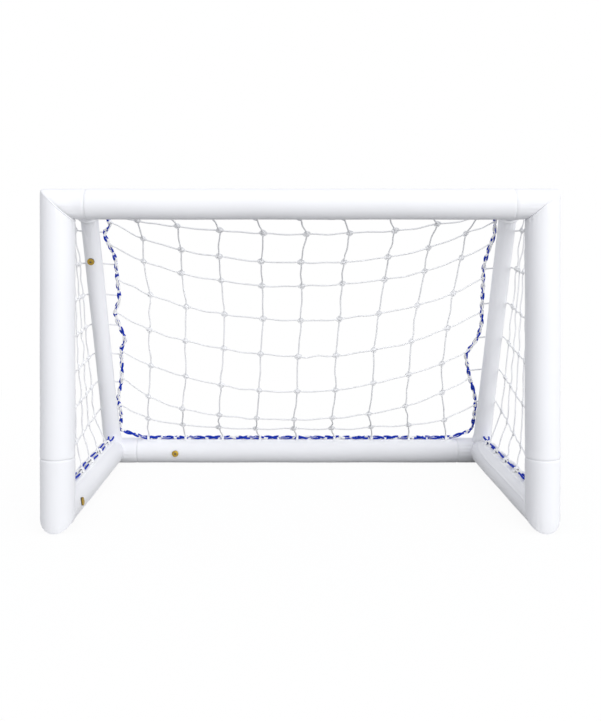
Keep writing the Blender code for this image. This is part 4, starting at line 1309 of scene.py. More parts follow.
@dataclass
class Lacing:
    """A welded strip on a tube with belt loops, and the places on it."""

    node: str
    start: Array
    end: Array
    outward: Array
    tube_r: float
    rope_r: float = 0.0040
    strip_t: float = 0.0010
    strip_half: float = 0.0100
    fit: float = 0.0003
    loop_wall: float = 0.0012
    loop_room: float = 0.0012
    sunk: float = 0.0004
    wander: float = 0.0003
    edge_t: float = 0.0006
    edge_curl: float = 0.0
    curl_side: float = 1.0

    def __post_init__(self) -> None:
        """Work out the strip's own directions."""
        self.length = float(np.linalg.norm(self.end - self.start))
        self.along = (self.end - self.start) / self.length
        self.lateral = np.cross(self.along, self.outward)

    @property
    def rope_height(self) -> float:
        """The rope's middle above the tube's surface."""
        return SIZE.seam_gap + self.strip_t + self.fit + self.rope_r

    def at(self, distance: Array | float, height: Array | float = 0.0,
           sideways: Array | float = 0.0) -> Array:
        """Points along the strip.

        Args:
            distance: how far along it they lie.
            height: how high above the tube's surface.
            sideways: how far to the strip's side.

        Returns:
            The points.
        """
        distance, height, sideways = (np.asarray(v, float)[..., None]
                                      for v in (distance, height, sideways))
        return (self.start + self.along * distance + self.lateral * sideways
                + self.outward * (self.tube_r + height))

    def loop_places(self, pitch: float, margin: float) -> Array:
        """Evenly spaced loops, centred on the strip.

        Args:
            pitch: the distance between them.
            margin: the least distance between a loop and the strip's end.

        Returns:
            Their distances along the strip.
        """
        count = int((self.length - 2 * margin) / pitch) + 1
        first = (self.length - (count - 1) * pitch) / 2
        return first + pitch * np.arange(count)

    def build(self, places: Array, width: float, material: Material, seed: int) -> Object:
        """The strip and its loops.

        The strip's section is a curved tape whose half width wanders a little along it. A raised
        edge puffs up in a half wave, less so beside a loop.

        Args:
            places: the loops' distances along the strip.
            width: a loop's width.
            material: the finish.
            seed: chooses how the half width wanders.

        Returns:
            The strip with its loops.
        """
        random = np.random.default_rng(seed)
        shells = Shells()
        steps = np.linspace(0.0, self.length, max(8, int(self.length / 0.008)))
        waves = sum(np.sin(steps / scale + random.uniform(0, 6)) for scale in WANDER_SCALES)
        half = (self.strip_half + self.wander * waves) / self.tube_r
        ends = np.minimum(1.0, np.minimum(steps, self.length - steps) / END_ROUND + END_START)
        half = half * np.sqrt(np.clip(ends, 0, 1))
        across = np.linspace(-1, 1, 25)
        low = self.tube_r - self.sunk
        edge = np.sqrt(np.clip(1 - np.abs(across) ** 6, 0, 1))
        top = self.tube_r + SIZE.seam_gap + self.strip_t * (0.25 + 0.75 * edge)
        angle = half[:, None] * across[None, :]
        gap = np.abs(steps[:, None] - places[None, :]).min(axis=1)
        puff = np.sin(math.pi * np.clip((across * self.curl_side - 0.30) / 0.70, 0, 1))
        curl = self.edge_curl * (1 - LOW_SHARE * bell(gap, LOW_REACH))[:, None] * puff
        outer = self._arc(steps, angle, top + curl)
        inner = self._arc(steps, angle, low + np.maximum(curl - self.edge_t, 0.0))
        shells.add(np.concatenate([outer, inner[:, ::-1]], axis=1))
        for place in places:
            self._loop(shells, float(place), width)
        return shells.build(self.node, "tape", material, "weld_tape")

    def _arc(self, distance: Array, angle: Array, radius: Array) -> Array:
        """Points round the tube: radius * (outward cos a + lateral sin a)."""
        return (self.start + self.along * distance[:, None, None]
                + radius[..., None] * turned(angle, self.outward, self.lateral))

    def _loop(self, shells: Shells, place: float, width: float) -> None:
        """One webbing loop.

        It runs in along the strip, up beside the rope, over it in a half round and down again.

        Args:
            shells: where it is added.
            place: its distance along the strip.
            width: its width.
        """
        inner = self.rope_r + self.fit + self.loop_room + self.loop_wall / 2
        bend = np.linspace(0.0, math.pi, 17)
        foot_high = -(self.rope_height - SIZE.seam_gap - self.strip_t - self.loop_wall / 2)
        beside, above = LOOP_FOOT.T
        side = np.concatenate([inner + beside, inner * np.cos(bend), -inner - beside[::-1]])
        high = np.concatenate([foot_high + above, inner * np.sin(bend), foot_high + above[::-1]])
        path = self.at(place, self.rope_height + high, side)
        deep = np.cross(unit(np.gradient(path, axis=0)), self.along)
        section = WEBBING * (width / 2, self.loop_wall / 2)
        shells.add(path[:, None, :] + section[None, :, :1] * self.along
                   + section[None, :, 1:] * deep[:, None, :])


@dataclass
class RopePair:
    """Two thin flecked ropes that wind loosely round each other along one line.

    A strand's middle is line + spread * (cos p * first + sin p * second), with the phase p
    growing with the length, and half a turn between the two strands.
    """

    node: str
    line: Array
    strand_r: float = 0.0030
    spread: float = 0.0031
    turn_length: float = 0.060
    fleck_starts: tuple[float, float] = (0.0, 0.009)
    hint: Sequence[float] = (1.0, 0.0, 0.0)
    phase: float = 0.0
    sides: int = 12
    parting: float = 0.0
    held_at: Optional[Array] = None
    extra: tuple[Array, ...] = ()

    def build(self, material: Material, declare: bool = False) -> Object:
        """The pair as one piece.

        Args:
            material: its finish.
            declare: True for a free rope; not used.

        Returns:
            The pair.
        """
        fine = spaced(self.line, FINE_STEP)
        travelled = np.arange(len(fine)) * FINE_STEP
        first, second = turning_frame(fine, np.asarray(self.hint, float))
        spread = np.full(len(fine), self.spread)
        if self.held_at is not None:
            gap = np.abs(travelled[:, None] - self.held_at[None, :]).min(axis=1)
            spread += self.parting * (1 - bell(gap, 0.022))
        shells = Shells()
        for strand, fleck_start in zip((0.0, 0.5), self.fleck_starts):
            turn = FULL_TURN * (travelled / self.turn_length + strand) + self.phase
            middle = fine + spread[:, None] * turned(turn, first, second)
            radius = np.full(len(fine), self.strand_r)
            radius[[0, -1]] *= 0.6
            shells.add(tube_rings(middle, radius, self.sides, np.asarray(self.hint, float)),
                       along=travelled - fleck_start)
        for line in self.extra:
            shells.add(tube_rings(line, self.strand_r, self.sides, Y_AXIS))
        piece = shells.build(self.node, "strands", material, "rope")
        return piece


# The corner ropes' insets from the post's middle line, distances behind the front plane and
# heights: along the arm, then down behind each strut.
ARM_ROPE = (
    (0.065, 0.043, 0.737), (0.045, 0.060, 0.745), (0.0295, 0.100, 0.7465),
    (0.0285, 0.180, 0.7465), (0.0285, 0.270, 0.7465),
)
CORNER_ROPES = {
    Side.LEFT: ARM_ROPE + (
        (0.035, 0.345, 0.741), (0.049, 0.383, 0.725), (0.048, 0.391, 0.710),
        (0.033, 0.401, 0.690), (0.041, 0.415, 0.664), (0.055, 0.437, 0.623),
        (0.056, 0.469, 0.562), (0.056, 0.498, 0.506), (0.041, 0.518, 0.467),
        (0.055, 0.545, 0.415), (0.062, 0.560, 0.387), (0.049, 0.575, 0.358),
        (0.046, 0.600, 0.312), (0.041, 0.624, 0.264), (0.027, 0.655, 0.206),
        (0.030, 0.684, 0.150), (0.022, 0.708, 0.104),
    ),
    Side.RIGHT: ARM_ROPE + (
        (0.031, 0.345, 0.742), (0.029, 0.385, 0.722), (0.027, 0.403, 0.687),
        (0.039, 0.427, 0.641), (0.046, 0.450, 0.597), (0.043, 0.475, 0.549),
        (0.039, 0.514, 0.474), (0.036, 0.536, 0.432), (0.047, 0.560, 0.386),
        (0.070, 0.582, 0.345), (0.065, 0.598, 0.314), (0.054, 0.620, 0.272),
        (0.034, 0.649, 0.216), (0.028, 0.670, 0.175), (0.030, 0.706, 0.107),
    ),
}
# The rear rope: distances from the strip's end and lifts, then insets and rises at its two ends.
REAR_ROPE_LAID = ((0.004, 0.0015), (0.035, 0.0), (0.10, 0.0))
REAR_ROPE_ENDS = {Side.LEFT: ((0.033, 0.0611), (0.063, 0.0521)),
                  Side.RIGHT: ((0.041, 0.0601), (0.063, 0.0521))}
REAR_ROPE_FRONT = 0.0148
ROPE_STEP = 0.021


def corner_route(side: Side) -> Array:
    """A corner rope's route from insets, distances behind the front plane and heights."""
    inset, back, height = np.array(CORNER_ROPES[side]).T
    return np.column_stack([side.value * (SIZE.post_x - inset), SIZE.front_y + back, height])


@dataclass
class Laces:
    """Every strip with loops, and every rope."""

    size: GoalSize
    finishes: Finishes
    mesh: float = 0.107
    rear_mesh: float = 0.1127
    pitch: float = 0.120
    places: dict[str, Lacing] = field(default_factory=dict)

    def layout(self) -> None:
        """Where each strip lies."""
        s = self.size
        for key, y, z, radius, towards, degrees, reach in (
                ("crossbar", s.front_y, s.crossbar_z, s.crossbar_r, Y_AXIS, -20,
                 s.post_x - s.crossbar_seam_inset),
                ("rear", s.rear_y, s.base_z, s.base_r, -Y_AXIS, 73,
                 s.post_x - s.rear_seam_inset)):
            reach -= BAR_ENDS[key]
            self.places[key] = Lacing(
                f"{key}_strip", np.array((-reach, y, z)), np.array((reach, y, z)),
                turned(math.radians(degrees), towards, Z_AXIS), radius)
        for side in Side:
            for stem, start, end, run, outward, radius in (
                    ("ground", s.heel, s.rear_corner, Y_AXIS, Z_AXIS, s.base_r),
                    ("post", s.corner * (1, 1, 0), s.corner, Z_AXIS, Y_AXIS, s.post_r),
                    ("arm", s.elbow - Y_AXIS * s.arm_reach, s.elbow, Y_AXIS, X_AXIS,
                     s.strut_r)):
                before, after = SIDE_ENDS[stem]
                self.places[side.named(stem)] = Lacing(
                    side.named(f"{stem}_strip"), side.place(start + run * before),
                    side.place(end - run * after), side.place(outward), radius,
                    strip_half=0.0145 if stem == "ground" else 0.0100,
                    edge_curl=0.0100 if stem == "ground" else 0.0, curl_side=side.value)

    def build(self) -> None:
        """Strips, loops and ropes."""
        columns = np.arange(-4, 5)
        for seed, (key, lacing) in enumerate(self.places.items()):
            if key in ("crossbar", "rear"):
                pitch = self.mesh if key == "crossbar" else self.rear_mesh
                places, width = lacing.length / 2 + pitch * columns, 0.0070
            else:
                places = lacing.loop_places(self.pitch, LOOP_MARGIN)
                width = 0.0200 if key.startswith("ground") else 0.0070
            lacing.build(places, width, self.finishes.tape, seed)
        self.straight_ropes()
        self.free_ropes()

    def straight_ropes(self) -> None:
        """The ropes that run straight through their loops, each slightly slack between them."""
        for key, lacing in self.places.items():
            if key == "rear":
                continue
            proud = PROUD_CROSSBAR if key == "crossbar" else PROUD_SIDE
            travel = np.linspace(-proud, lacing.length + proud, 160)
            line = lacing.at(travel, lacing.rope_height + ROPE_LIFT,
                             ROPE_SWAY * np.sin(travel / SWAY_SCALE))
            if key.startswith("ground"):
                held = lacing.loop_places(self.pitch, LOOP_MARGIN) + proud
                look = {"phase": math.pi / 2, "turn_length": 2.4, "parting": 0.0012,
                        "strand_r": 0.0025, "spread": 0.0036, "held_at": held,
                        "fleck_starts": (float(held[0]) + 0.020,) * 2,
                        "extra": self.end_bights(lacing)}
                material = self.finishes.laid_rope
            else:
                look = {"phase": float(len(key)), "turn_length": 0.12, "strand_r": 0.0027,
                        "spread": 0.0027}
                material = self.finishes.rope
            RopePair(lacing.node.replace("strip", "rope"), line, hint=lacing.outward, **look
                     ).build(material)

    def end_bights(self, lacing: Lacing) -> tuple[Array, ...]:
        """Small bights of strand at both ends of a ground rope, open towards the rope's end.

        Each is a half ellipse: sideways a cos t, and both along and up as (1 - sin t).

        Args:
            lacing: the ground tube's strip.

        Returns:
            The two bights' middle lines.
        """
        t = np.linspace(0.0, math.pi, 15)
        return tuple(lacing.at(distance + lean * (1 - np.sin(t)),
                               lacing.rope_height + 0.0008 + 0.008 * (1 - np.sin(t)),
                               0.0040 + 0.0072 * np.cos(t))
                     for distance, lean in ((lacing.length - 0.012, 0.018), (0.010, -0.018)))

    def free_ropes(self) -> None:
        """The two corner ropes and the rear rope, which hang free between their ends."""
        s, rear = self.size, self.places["rear"]
        laid = [rear.at(p, rear.rope_height + lift) for p, lift in REAR_ROPE_LAID]
        laid += [rear.at(rear.length - p, rear.rope_height + lift)
                 for p, lift in REAR_ROPE_LAID[::-1]]
        free = {side: [np.array((side.value * (s.post_x - inset), s.rear_y - REAR_ROPE_FRONT,
                                 s.base_z + rise)) for inset, rise in REAR_ROPE_ENDS[side]]
                for side in Side}
        for side in Side:
            free[side].insert(0, corner_route(side)[-1] + (0.0, 0.004, -0.001))
        line = smooth_route(free[Side.LEFT] + laid + free[Side.RIGHT][::-1], FINE_STEP)
        RopePair("rear_rope", line, hint=Z_AXIS).build(self.finishes.rear_rope, declare=True)
        for side in Side:
            line = smooth_route(corner_route(side), FINE_STEP)
            RopePair(side.named("corner_rope"), line, phase=0.7 * side.value
                     ).build(self.finishes.rope, declare=True)


# Net

# The back net's rows from the top: the height where each meets the corner ropes (None on the
# arms), its middle's distance behind the front plane and height, and the power of its sag.
BACK_ROWS = (
    (None, 0.112, 0.7235, 2.0), (None, 0.194, 0.6857, 2.0), (0.7225, 0.270, 0.6146, 2.1),
    (0.6646, 0.351, 0.5493, 2.1), (0.5675, 0.397, 0.4545, 2.1), (0.4706, 0.425, 0.3535, 2.1),
    (0.3546, 0.457, 0.2534, 1.9), (0.2706, 0.516, 0.1655, 2.4), (0.1840, 0.612, 0.1220, 4.0),
)
# The first two rows' ends, behind the front plane.
ROOF_EDGE_REACH = (0.150, 0.265)
# How far the back net's knots lie from their smooth rows, across and up, in millimetres.
KNOT_SHIFTS = (
    ((14, 12, 14, 17, 19, 20, 28, 30, 31), (-4, -1, 0, 0, 0, 0, -1, 4, 5)),
    ((1, 2, -3, 0, -4, 0, 9, 11, 11), (-6, -5, -1, -2, 0, -4, -3, 0, 7)),
    ((1, 1, 3, 5, 5, 6, 13, 15, 13), (-6, -5, -2, -3, 0, 3, 1, 0, 3)),
    ((6, 7, 7, 6, 1, -1, 0, 1, 2), (-3, -3, 0, 1, 0, 0, 2, 1, 1)),
    ((5, 5, 7, 2, -2, -5, -7, -7, -6), (-5, 0, 4, 3, 0, -1, 0, -1, 0)),
    ((6, 10, 7, 7, 6, 5, 5, 2, 2), (-4, -2, -3, -3, 0, -2, 3, 3, 2)),
    ((-6, -6, -4, -4, -5, -3, -6, -5, 4), (-6, -6, -1, 1, 0, 2, 2, 2, 6)),
    ((-14, -16, -17, -16, -11, -7, 2, 7, 8), (0, 2, 2, 0, 0, 1, 3, 1, -4)),
)
# A side net's rows: how many, how far apart, and their droop towards the front.
SIDE_ROWS = {Side.LEFT: (7, 0.0875, 0.04), Side.RIGHT: (6, 0.100, 0.15)}
# Where the rows' cords pass round the strut, from its outer side to its back.
STRUT_BENDS = np.radians((-12.0, 22.0, 56.0, 90.0))
KNOT_POWER = 1.3
KNOT_FACING = 1.5
ROW_SAG = 0.0020
# A lashing's half length, its radius, the height of its turns and its radius at the ends.
LASHING = (0.0048, 0.0046, 0.0009, 0.0040)


def rope_place(route: Array, axis: int, value: float) -> Array:
    """The place on a corner rope where one coordinate has a value.

    A height is looked for on the stretch behind the elbow only.

    Args:
        route: the rope's route.
        axis: 1 looks for a distance back, 2 for a height.
        value: the value.

    Returns:
        The place.
    """
    line = smooth_route(route, ROPE_STEP)
    a, b = line[:-1], line[1:]
    if axis == 2:
        keep = a[:, 1] >= SIZE.elbow[1] - SIZE.strut_r
        a, b = a[keep], b[keep]
    share = np.clip((value - a[:, axis]) / (b[:, axis] - a[:, axis] + 1e-12), 0.0, 1.0)
    place = a + (b - a) * share[:, None]
    return place[np.abs(place[:, axis] - value).argmin()]


@dataclass
class Net:
    """A knotted net over a grid of places whose border lies on ropes."""

    node: str
    grid: Array
    cord_r: float = 0.0020
    knot_r: float = 0.0084
    slack: float = 0.0018
    seed: int = 5
    detours: Optional[list[Array]] = None
    wraps: bool = True

    def __post_init__(self) -> None:
        """Start the random draws and the collected surfaces."""
        self.random = np.random.default_rng(self.seed)
        self.shells = Shells()

    def build(self, finishes: Finishes) -> Object:
        """All cords and knots of the net as one piece.

        Args:
            finishes: the goal's finishes.

        Returns:
            The net.
        """
        rows, columns = self.grid.shape[:2]
        for j in range(1, rows - 1):
            for i in range(columns - 1):
                if not (self.detours and i == columns - 2):
                    self.cord(self.grid[j, i], self.grid[j, i + 1], ROW_SAG)
            if self.detours:
                self.around(j, self.detours[j - 1])
        for i in range(1, columns - 1):
            for j in range(rows - 1):
                self.cord(self.grid[j, i], self.grid[j + 1, i], 0.0)
        across = unit(self.grid[1:-1, 2:] - self.grid[1:-1, :-2])
        down = unit(self.grid[2:, 1:-1] - self.grid[:-2, 1:-1])
        inner = self.grid[1:-1, 1:-1]
        for place, side, fall in zip(inner.reshape(-1, 3), across.reshape(-1, 3),
                                     down.reshape(-1, 3)):
            self.knot(place, side, fall)
        if self.wraps:
            self.lash_border()
        return self.shells.build(self.node, "knotted", finishes.twine, "net_cord")

    def cord(self, a: Array, b: Array, sag: float) -> None:
        """A cord with small wobbles: a + (b - a) t + wobble * sin, less a little sag.

        Args:
            a: where it starts.
            b: where it ends.
            sag: how far its middle hangs.
        """
        t = np.linspace(0.0, 1.0, 11)[:, None]
        wobble = sum(self.random.normal(0, self.slack * 0.45, 3) * np.sin(math.pi * k * t)
                     for k in (1, 2, 3))
        self.sweep(a + (b - a) * t + wobble - Z_AXIS * sag * 4 * t * (1 - t))

    def sweep(self, line: Array) -> None:
        """A thin round cord along a line."""
        hint = np.eye(3)[int(np.abs(unit(line[-1] - line[0])).argmin())]
        self.shells.add(tube_rings(line, self.cord_r, 8, hint))

    def around(self, j: int, bends: Array) -> None:
        """A row's last cord, which passes round the strut to the corner rope."""
        self.sweep(smooth_route([self.grid[j, -2], *bends, self.grid[j, -1]], 0.006))

    def knot(self, place: Array, across: Array, down: Array) -> None:
        """A pulled-tight mesh knot: a flat lozenge of cord with a turn of cord round its rim.

        Both follow a lozenge with rounded corners: at angle a the radius is
        R / (|cos a|^p + |sin a|^p)^(1/p), turned and a little longer one way. A net that slopes
        like a roof has its knots turned part of the way to the front.

        Args:
            place: the knot's middle.
            across: the direction along its row.
            down: the direction down its column.
        """
        depth = unit(np.cross(across, down))
        if abs(depth[0]) < abs(depth[1]) + abs(depth[2]):
            depth = unit(depth + KNOT_FACING * math.copysign(1.0, depth[1]) * Y_AXIS)
        tilt = self.random.normal(0.18, 0.12)
        wide = unit(np.cross(np.cross(depth, across), depth))
        down = np.cross(depth, wide)
        wide, tall = (wide * math.cos(tilt) - down * math.sin(tilt),
                      down * math.cos(tilt) + wide * math.sin(tilt))
        r = self.knot_r * self.random.uniform(0.93, 1.08)
        angle = np.arange(12) * FULL_TURN / 12
        lozenge = r / (np.abs(np.cos(angle)) ** KNOT_POWER
                       + np.abs(np.sin(angle)) ** KNOT_POWER) ** (1 / KNOT_POWER)
        rim = place + lozenge[:, None] * turned(angle, 1.1 * wide, 0.9 * tall)
        size = np.array((0.62, 1.0, 1.0, 0.62))[:, None, None]
        lift = np.array((-1.0, -0.45, 0.45, 1.0))[:, None, None] * depth * self.cord_r * 1.1
        self.shells.add(place + (rim - place) * 0.74 * size + lift * 1.5)
        outward = unit(rim - place)
        turn = turned(np.arange(5) * FULL_TURN / 5, outward[:, None], depth)
        self.shells.add(rim[:, None] + self.cord_r * 0.85 * turn, looped=True)

    def lash_border(self) -> None:
        """A short coil of cord round the rope at the end of each row.

        The coil is a barrel whose radius has three turns of cord in it.
        """
        half, core, turns, ends = LASHING
        t = np.linspace(-1.0, 1.0, 19)
        radius = core + turns * np.abs(np.sin(t * math.pi * 1.5)) ** 0.7
        radius[[0, -1]] = ends
        for column in (0, -1):
            for j in range(1, len(self.grid) - 1):
                nearby = self.grid[min(j + 1, len(self.grid) - 2), column]
                earlier = self.grid[max(j - 1, 1), column]
                line = self.grid[j, column] + unit(nearby - earlier) * (t * half)[:, None]
                self.shells.add(tube_rings(line, radius, 14, X_AXIS + 0.2 * Y_AXIS))


@dataclass
class Nets:
    """The back net and the two side nets."""

    size: GoalSize
    laces: Laces
    finishes: Finishes
    meshes_across: int = 10
    side_meshes: int = 6
    outer_clearance: float = 0.0060
    hug: float = 0.0036
    top_row_z: float = 0.697
    last_mesh: float = 0.6
    crowding: float = 0.90
    crowding_z: float = 0.35
    lean_z: float = 0.60

    def back_grid(self) -> Array:
        """Places of the back net: each row sags from its two ends on the corner ropes.

        Along a row, share s runs from -1 to 1 and the sag has the shape 1 - |s|^p.

        Returns:
            The places, of shape (rows, columns, 3).
        """
        half = self.meshes_across // 2
        share = np.arange(-half, half + 1) / half
        grid = np.zeros((len(BACK_ROWS) + 2, len(share), 3))
        crossbar, rear = self.laces.places["crossbar"], self.laces.places["rear"]
        grid[0] = crossbar.at(crossbar.length / 2 + self.laces.mesh * half * share,
                              crossbar.rope_height)
        grid[-1] = rear.at(rear.length / 2 + self.laces.rear_mesh * half * share,
                           rear.rope_height)
        routes = {side: corner_route(side) for side in Side}
        for j, (edge_z, middle_back, middle_z, lift) in enumerate(BACK_ROWS):
            low, high = (rope_place(routes[side], 1, SIZE.front_y + ROOF_EDGE_REACH[j])
                         if edge_z is None else rope_place(routes[side], 2, edge_z)
                         for side in Side)
            bulge = 1 - np.abs(share) ** lift
            mid, span = (low + high) / 2, (high[0] - low[0]) / 2
            spread = self.laces.mesh * half / span - 1
            edge = (low * (1 - share[:, None]) + high * (1 + share[:, None])) / 2
            grid[j + 1, :, 0] = mid[0] + span * share * (1 + spread * (1 - share ** 4))
            grid[j + 1, :, 1] = edge[:, 1] + (SIZE.front_y + middle_back - mid[1]) * bulge
            grid[j + 1, :, 2] = edge[:, 2] + (middle_z - mid[2]) * bulge
            grid[j + 1, [0, -1]] = low, high
        shifts = np.array(KNOT_SHIFTS, float) / 1000
        grid[2:-1, 1:-1, 0] += shifts[:, 0]
        grid[2:-1, 1:-1, 2] += shifts[:, 1]
        return grid

    def strut_y(self, z: Array | float) -> Array | float:
        """The strut's middle line at a height."""
        s = self.size
        return s.elbow[1] + (z - s.elbow[2]) * s.strut_run[1] / s.strut_run[2]

    def side_place(self, side: Side, step: Array | float, z: Array | float) -> Array:
        """A side net's knots in front of the strut.

        Above one height they crowd towards the strut, and above another they lean out.

        Args:
            side: which net.
            step: the column's number, counted from the post.
            z: the height.

        Returns:
            The knots' places.
        """
        s, post = self.size, self.laces.places[side.named("post")]
        start_y = post.at(0.0, post.rope_height)[1]
        share = step / (self.side_meshes - 1 + self.last_mesh)
        share = share * (1 + self.crowding * np.maximum(0.0, z - self.crowding_z) * (1 - share))
        front = self.strut_y(z) - s.strut_r / abs(s.strut_run[2]) - 0.012
        y = start_y + (front - start_y) * share
        lean = np.maximum(0.0, z - self.lean_z) / (s.elbow[2] - self.lean_z)
        along = (y - start_y) / (self.strut_y(z) - start_y)
        outer = s.strut_r + self.outer_clearance
        x = s.post_x + outer * (along + lean * (1 - along))
        return np.stack([side.value * x, y, np.broadcast_to(z, np.shape(y))], axis=-1)

    def side_grid(self, side: Side) -> tuple[Array, list[Array]]:
        """Places of a side net and each row's bends round the strut.

        Args:
            side: which net.

        Returns:
            The places, of shape (rows, columns, 3), and the bends of each row.
        """
        s = self.size
        rows, pitch, droop = SIDE_ROWS[side]
        post, ground, arm = (self.laces.places[side.named(k)] for k in ("post", "ground", "arm"))
        steps = np.arange(1, self.side_meshes)
        grid = np.zeros((rows + 2, self.side_meshes + 1, 3))
        deep = s.strut_r / abs(s.strut_run[2]) + self.hug
        detours = []
        for j in range(1, rows + 1):
            z = self.top_row_z - pitch * (j - 1)
            grid[j, 0] = post.at(z - post.start[2], post.rope_height)
            fall = droop * (1 - steps / self.side_meshes) * (j - 1) * self.laces.mesh
            grid[j, 1:-1] = self.side_place(side, steps, z - fall)
            grid[j, -1] = rope_place(corner_route(side), 2, z - 0.004)
            detours.append(side.place(np.column_stack([
                s.post_x + (s.strut_r + self.hug) * np.cos(STRUT_BENDS),
                self.strut_y(z) + deep * np.sin(STRUT_BENDS), np.full(4, z)])))
        low = self.side_place(side, steps, np.full(len(steps), s.base_z + s.base_r))
        high = self.side_place(side, steps, np.full(len(steps), s.elbow[2]))
        grid[-1, 1:-1] = ground.at(low[:, 1] - ground.start[1], ground.rope_height)
        grid[0, 1:-1] = arm.at(high[:, 1] - arm.start[1], arm.rope_height)
        return grid, detours

    def build(self) -> None:
        """All three nets."""
        Net("back_net", self.back_grid()).build(self.finishes)
        for side in Side:
            grid, detours = self.side_grid(side)
            Net(side.named("side_net"), grid, seed=8 + side.value, detours=detours,
                wraps=False).build(self.finishes)


# Valves


@dataclass
class Valve:
    """A brass valve with a knurled flange, its rubber seal and its press-in core."""

    name: str
    place: Array
    outward: Array
    body: str
    flange_r: float = 0.0100
    flange_under: float = 0.0015
    flange_top: float = 0.0042
    cap_top: float = 0.0052
    stem_r: float = 0.0050
    stem_end: float = -0.0085
    bore_r: float = 0.0030
    seat_r: float = 0.0014
    seat_z: float = -0.0065
    seal_r: float = 0.0094
    head_r: float = 0.0026
    teeth: int = 32

    def __post_init__(self) -> None:
        """Two directions square to the valve's axis."""
        self.outward = unit(self.outward)
        self.first = unit(np.cross(self.outward, Z_AXIS + 0.01 * X_AXIS))
        self.second = np.cross(self.outward, self.first)

    def lathe(self, profile: Profile, sides: int) -> Array:
        """A profile turned about the valve's axis.

        Args:
            profile: (radius, height, knurl depth) of each point.
            sides: the points of a ring.

        Returns:
            The rings.
        """
        radius, height, knurl = np.array(profile).T
        angle = np.arange(sides) * FULL_TURN / sides
        ridge = 0.5 - 0.5 * np.cos(self.teeth * angle)
        r = radius[:, None] - knurl[:, None] * ridge[None, :]
        return (self.place + r[..., None] * turned(angle, self.first, self.second)
                + height[:, None, None] * self.outward)

    def part(self, node: str, word: str, profile: Profile,
             sides: int, looped: bool, material: Material, slot: str,
             body: str = ROOT_BODY) -> None:
        """One turned part of the valve, which stands for its CAD node.

        Args:
            node: the last word of the CAD node's name.
            word: what the part's own name has after it.
            profile: (radius, height, knurl depth) of each point.
            sides: the points of a ring.
            looped: True where the profile closes on itself.
            material: the finish.
            slot: the record's material slot; not used.
            body: the CAD body that carries it.
        """
        shells = Shells()
        shells.add(self.lathe(profile, sides), looped=looped)
        shells.build(f"{self.name}_{node}", word, material, slot, body)

    def build(self, finishes: Finishes) -> None:
        """Body, seal and core.

        Args:
            finishes: the goal's finishes.
        """
        f, top, high, under = self.flange_r, self.cap_top, self.flange_top, self.flange_under
        self.part("body", "turned", [
            (self.bore_r, top - 0.0010, 0), (self.bore_r, top - 0.0003, 0),
            (self.bore_r + 0.0002, top - 0.0001, 0), (self.bore_r + 0.0005, top, 0),
            (f * 0.50, top, 0), (f * 0.66, top - 0.0001, 0), (f * 0.80, top - 0.0004, 0),
            (f * 0.90, top - 0.0009, 0), (f * 0.96, high - 0.0002, 0.0002),
            (f * 0.99, high - 0.0006, 0.0007), (f, high - 0.0010, 0.0008),
            (f, under + 0.0006, 0.0008), (f * 0.97, under + 0.0001, 0.0003),
            (f * 0.94, under, 0), (self.stem_r, under, 0), (self.stem_r, self.stem_end, 0),
            (self.seat_r, self.stem_end, 0), (self.seat_r, self.seat_z, 0),
            (self.bore_r, self.seat_z, 0)], 128, True, finishes.brass, "valve_brass")
        hole, lip, r = self.stem_r + SIZE.seam_gap, under - SIZE.seam_gap, self.seal_r
        self.part("seal", "ring", [
            (hole, lip, 0), (r - 0.0004, lip, 0), (r, lip - 0.0003, 0),
            (r + 0.0003, 0.0002, 0), (r, -0.0012, 0), (hole, -0.0012, 0)],
            64, True, finishes.rubber, "valve_rubber")
        h = self.head_r
        self.part("core", "pin", [
            (0.0010, self.stem_end - 0.0020, 0), (0.0010, -0.0022, 0), (h, -0.0022, 0),
            (h, high - 0.0004, 0), (h * 0.86, high, 0), (h * 0.5, high, 0),
            (h * 0.42, high - 0.0007, 0), (h * 0.1, high - 0.0008, 0)],
            32, False, finishes.core, "valve_core", self.body)


# Where the valves lie: below the elbow, across the rear bar and behind the front plane.
STRUT_VALVE_DROP, REAR_VALVE_X, GROUND_VALVE_BACK = 0.121, -0.3675, 0.091


def build_valves(size: GoalSize, finishes: Finishes) -> None:
    """The valves of the left strut, the rear bar and the left ground tube.

    Each faces one way, turned towards another by some degrees.

    Args:
        size: the goal's sizes.
        finishes: the goal's finishes.
    """
    drop = STRUT_VALVE_DROP / abs(size.strut_run[2])
    on_strut = Side.LEFT.place(size.elbow) + size.strut_run * drop
    for name, centre, radius, facing, aside, degrees in (
            ("strut_valve", on_strut, size.strut_r, -size.strut_up, X_AXIS, -6),
            ("rear_valve", np.array((REAR_VALVE_X, size.rear_y, size.base_z)), size.base_r,
             -Y_AXIS, Z_AXIS, -5),
            ("ground_valve",
             np.array((-size.post_x, size.front_y + GROUND_VALVE_BACK, size.base_z)),
             size.base_r, X_AXIS, Z_AXIS, 8)):
        outward = turned(math.radians(degrees), facing, aside)
        Valve(name, centre + outward * radius, outward, f"{name}_core_body").build(finishes)
        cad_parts[f"{name}_nut"].data.materials[0] = finishes.brass


# Studio


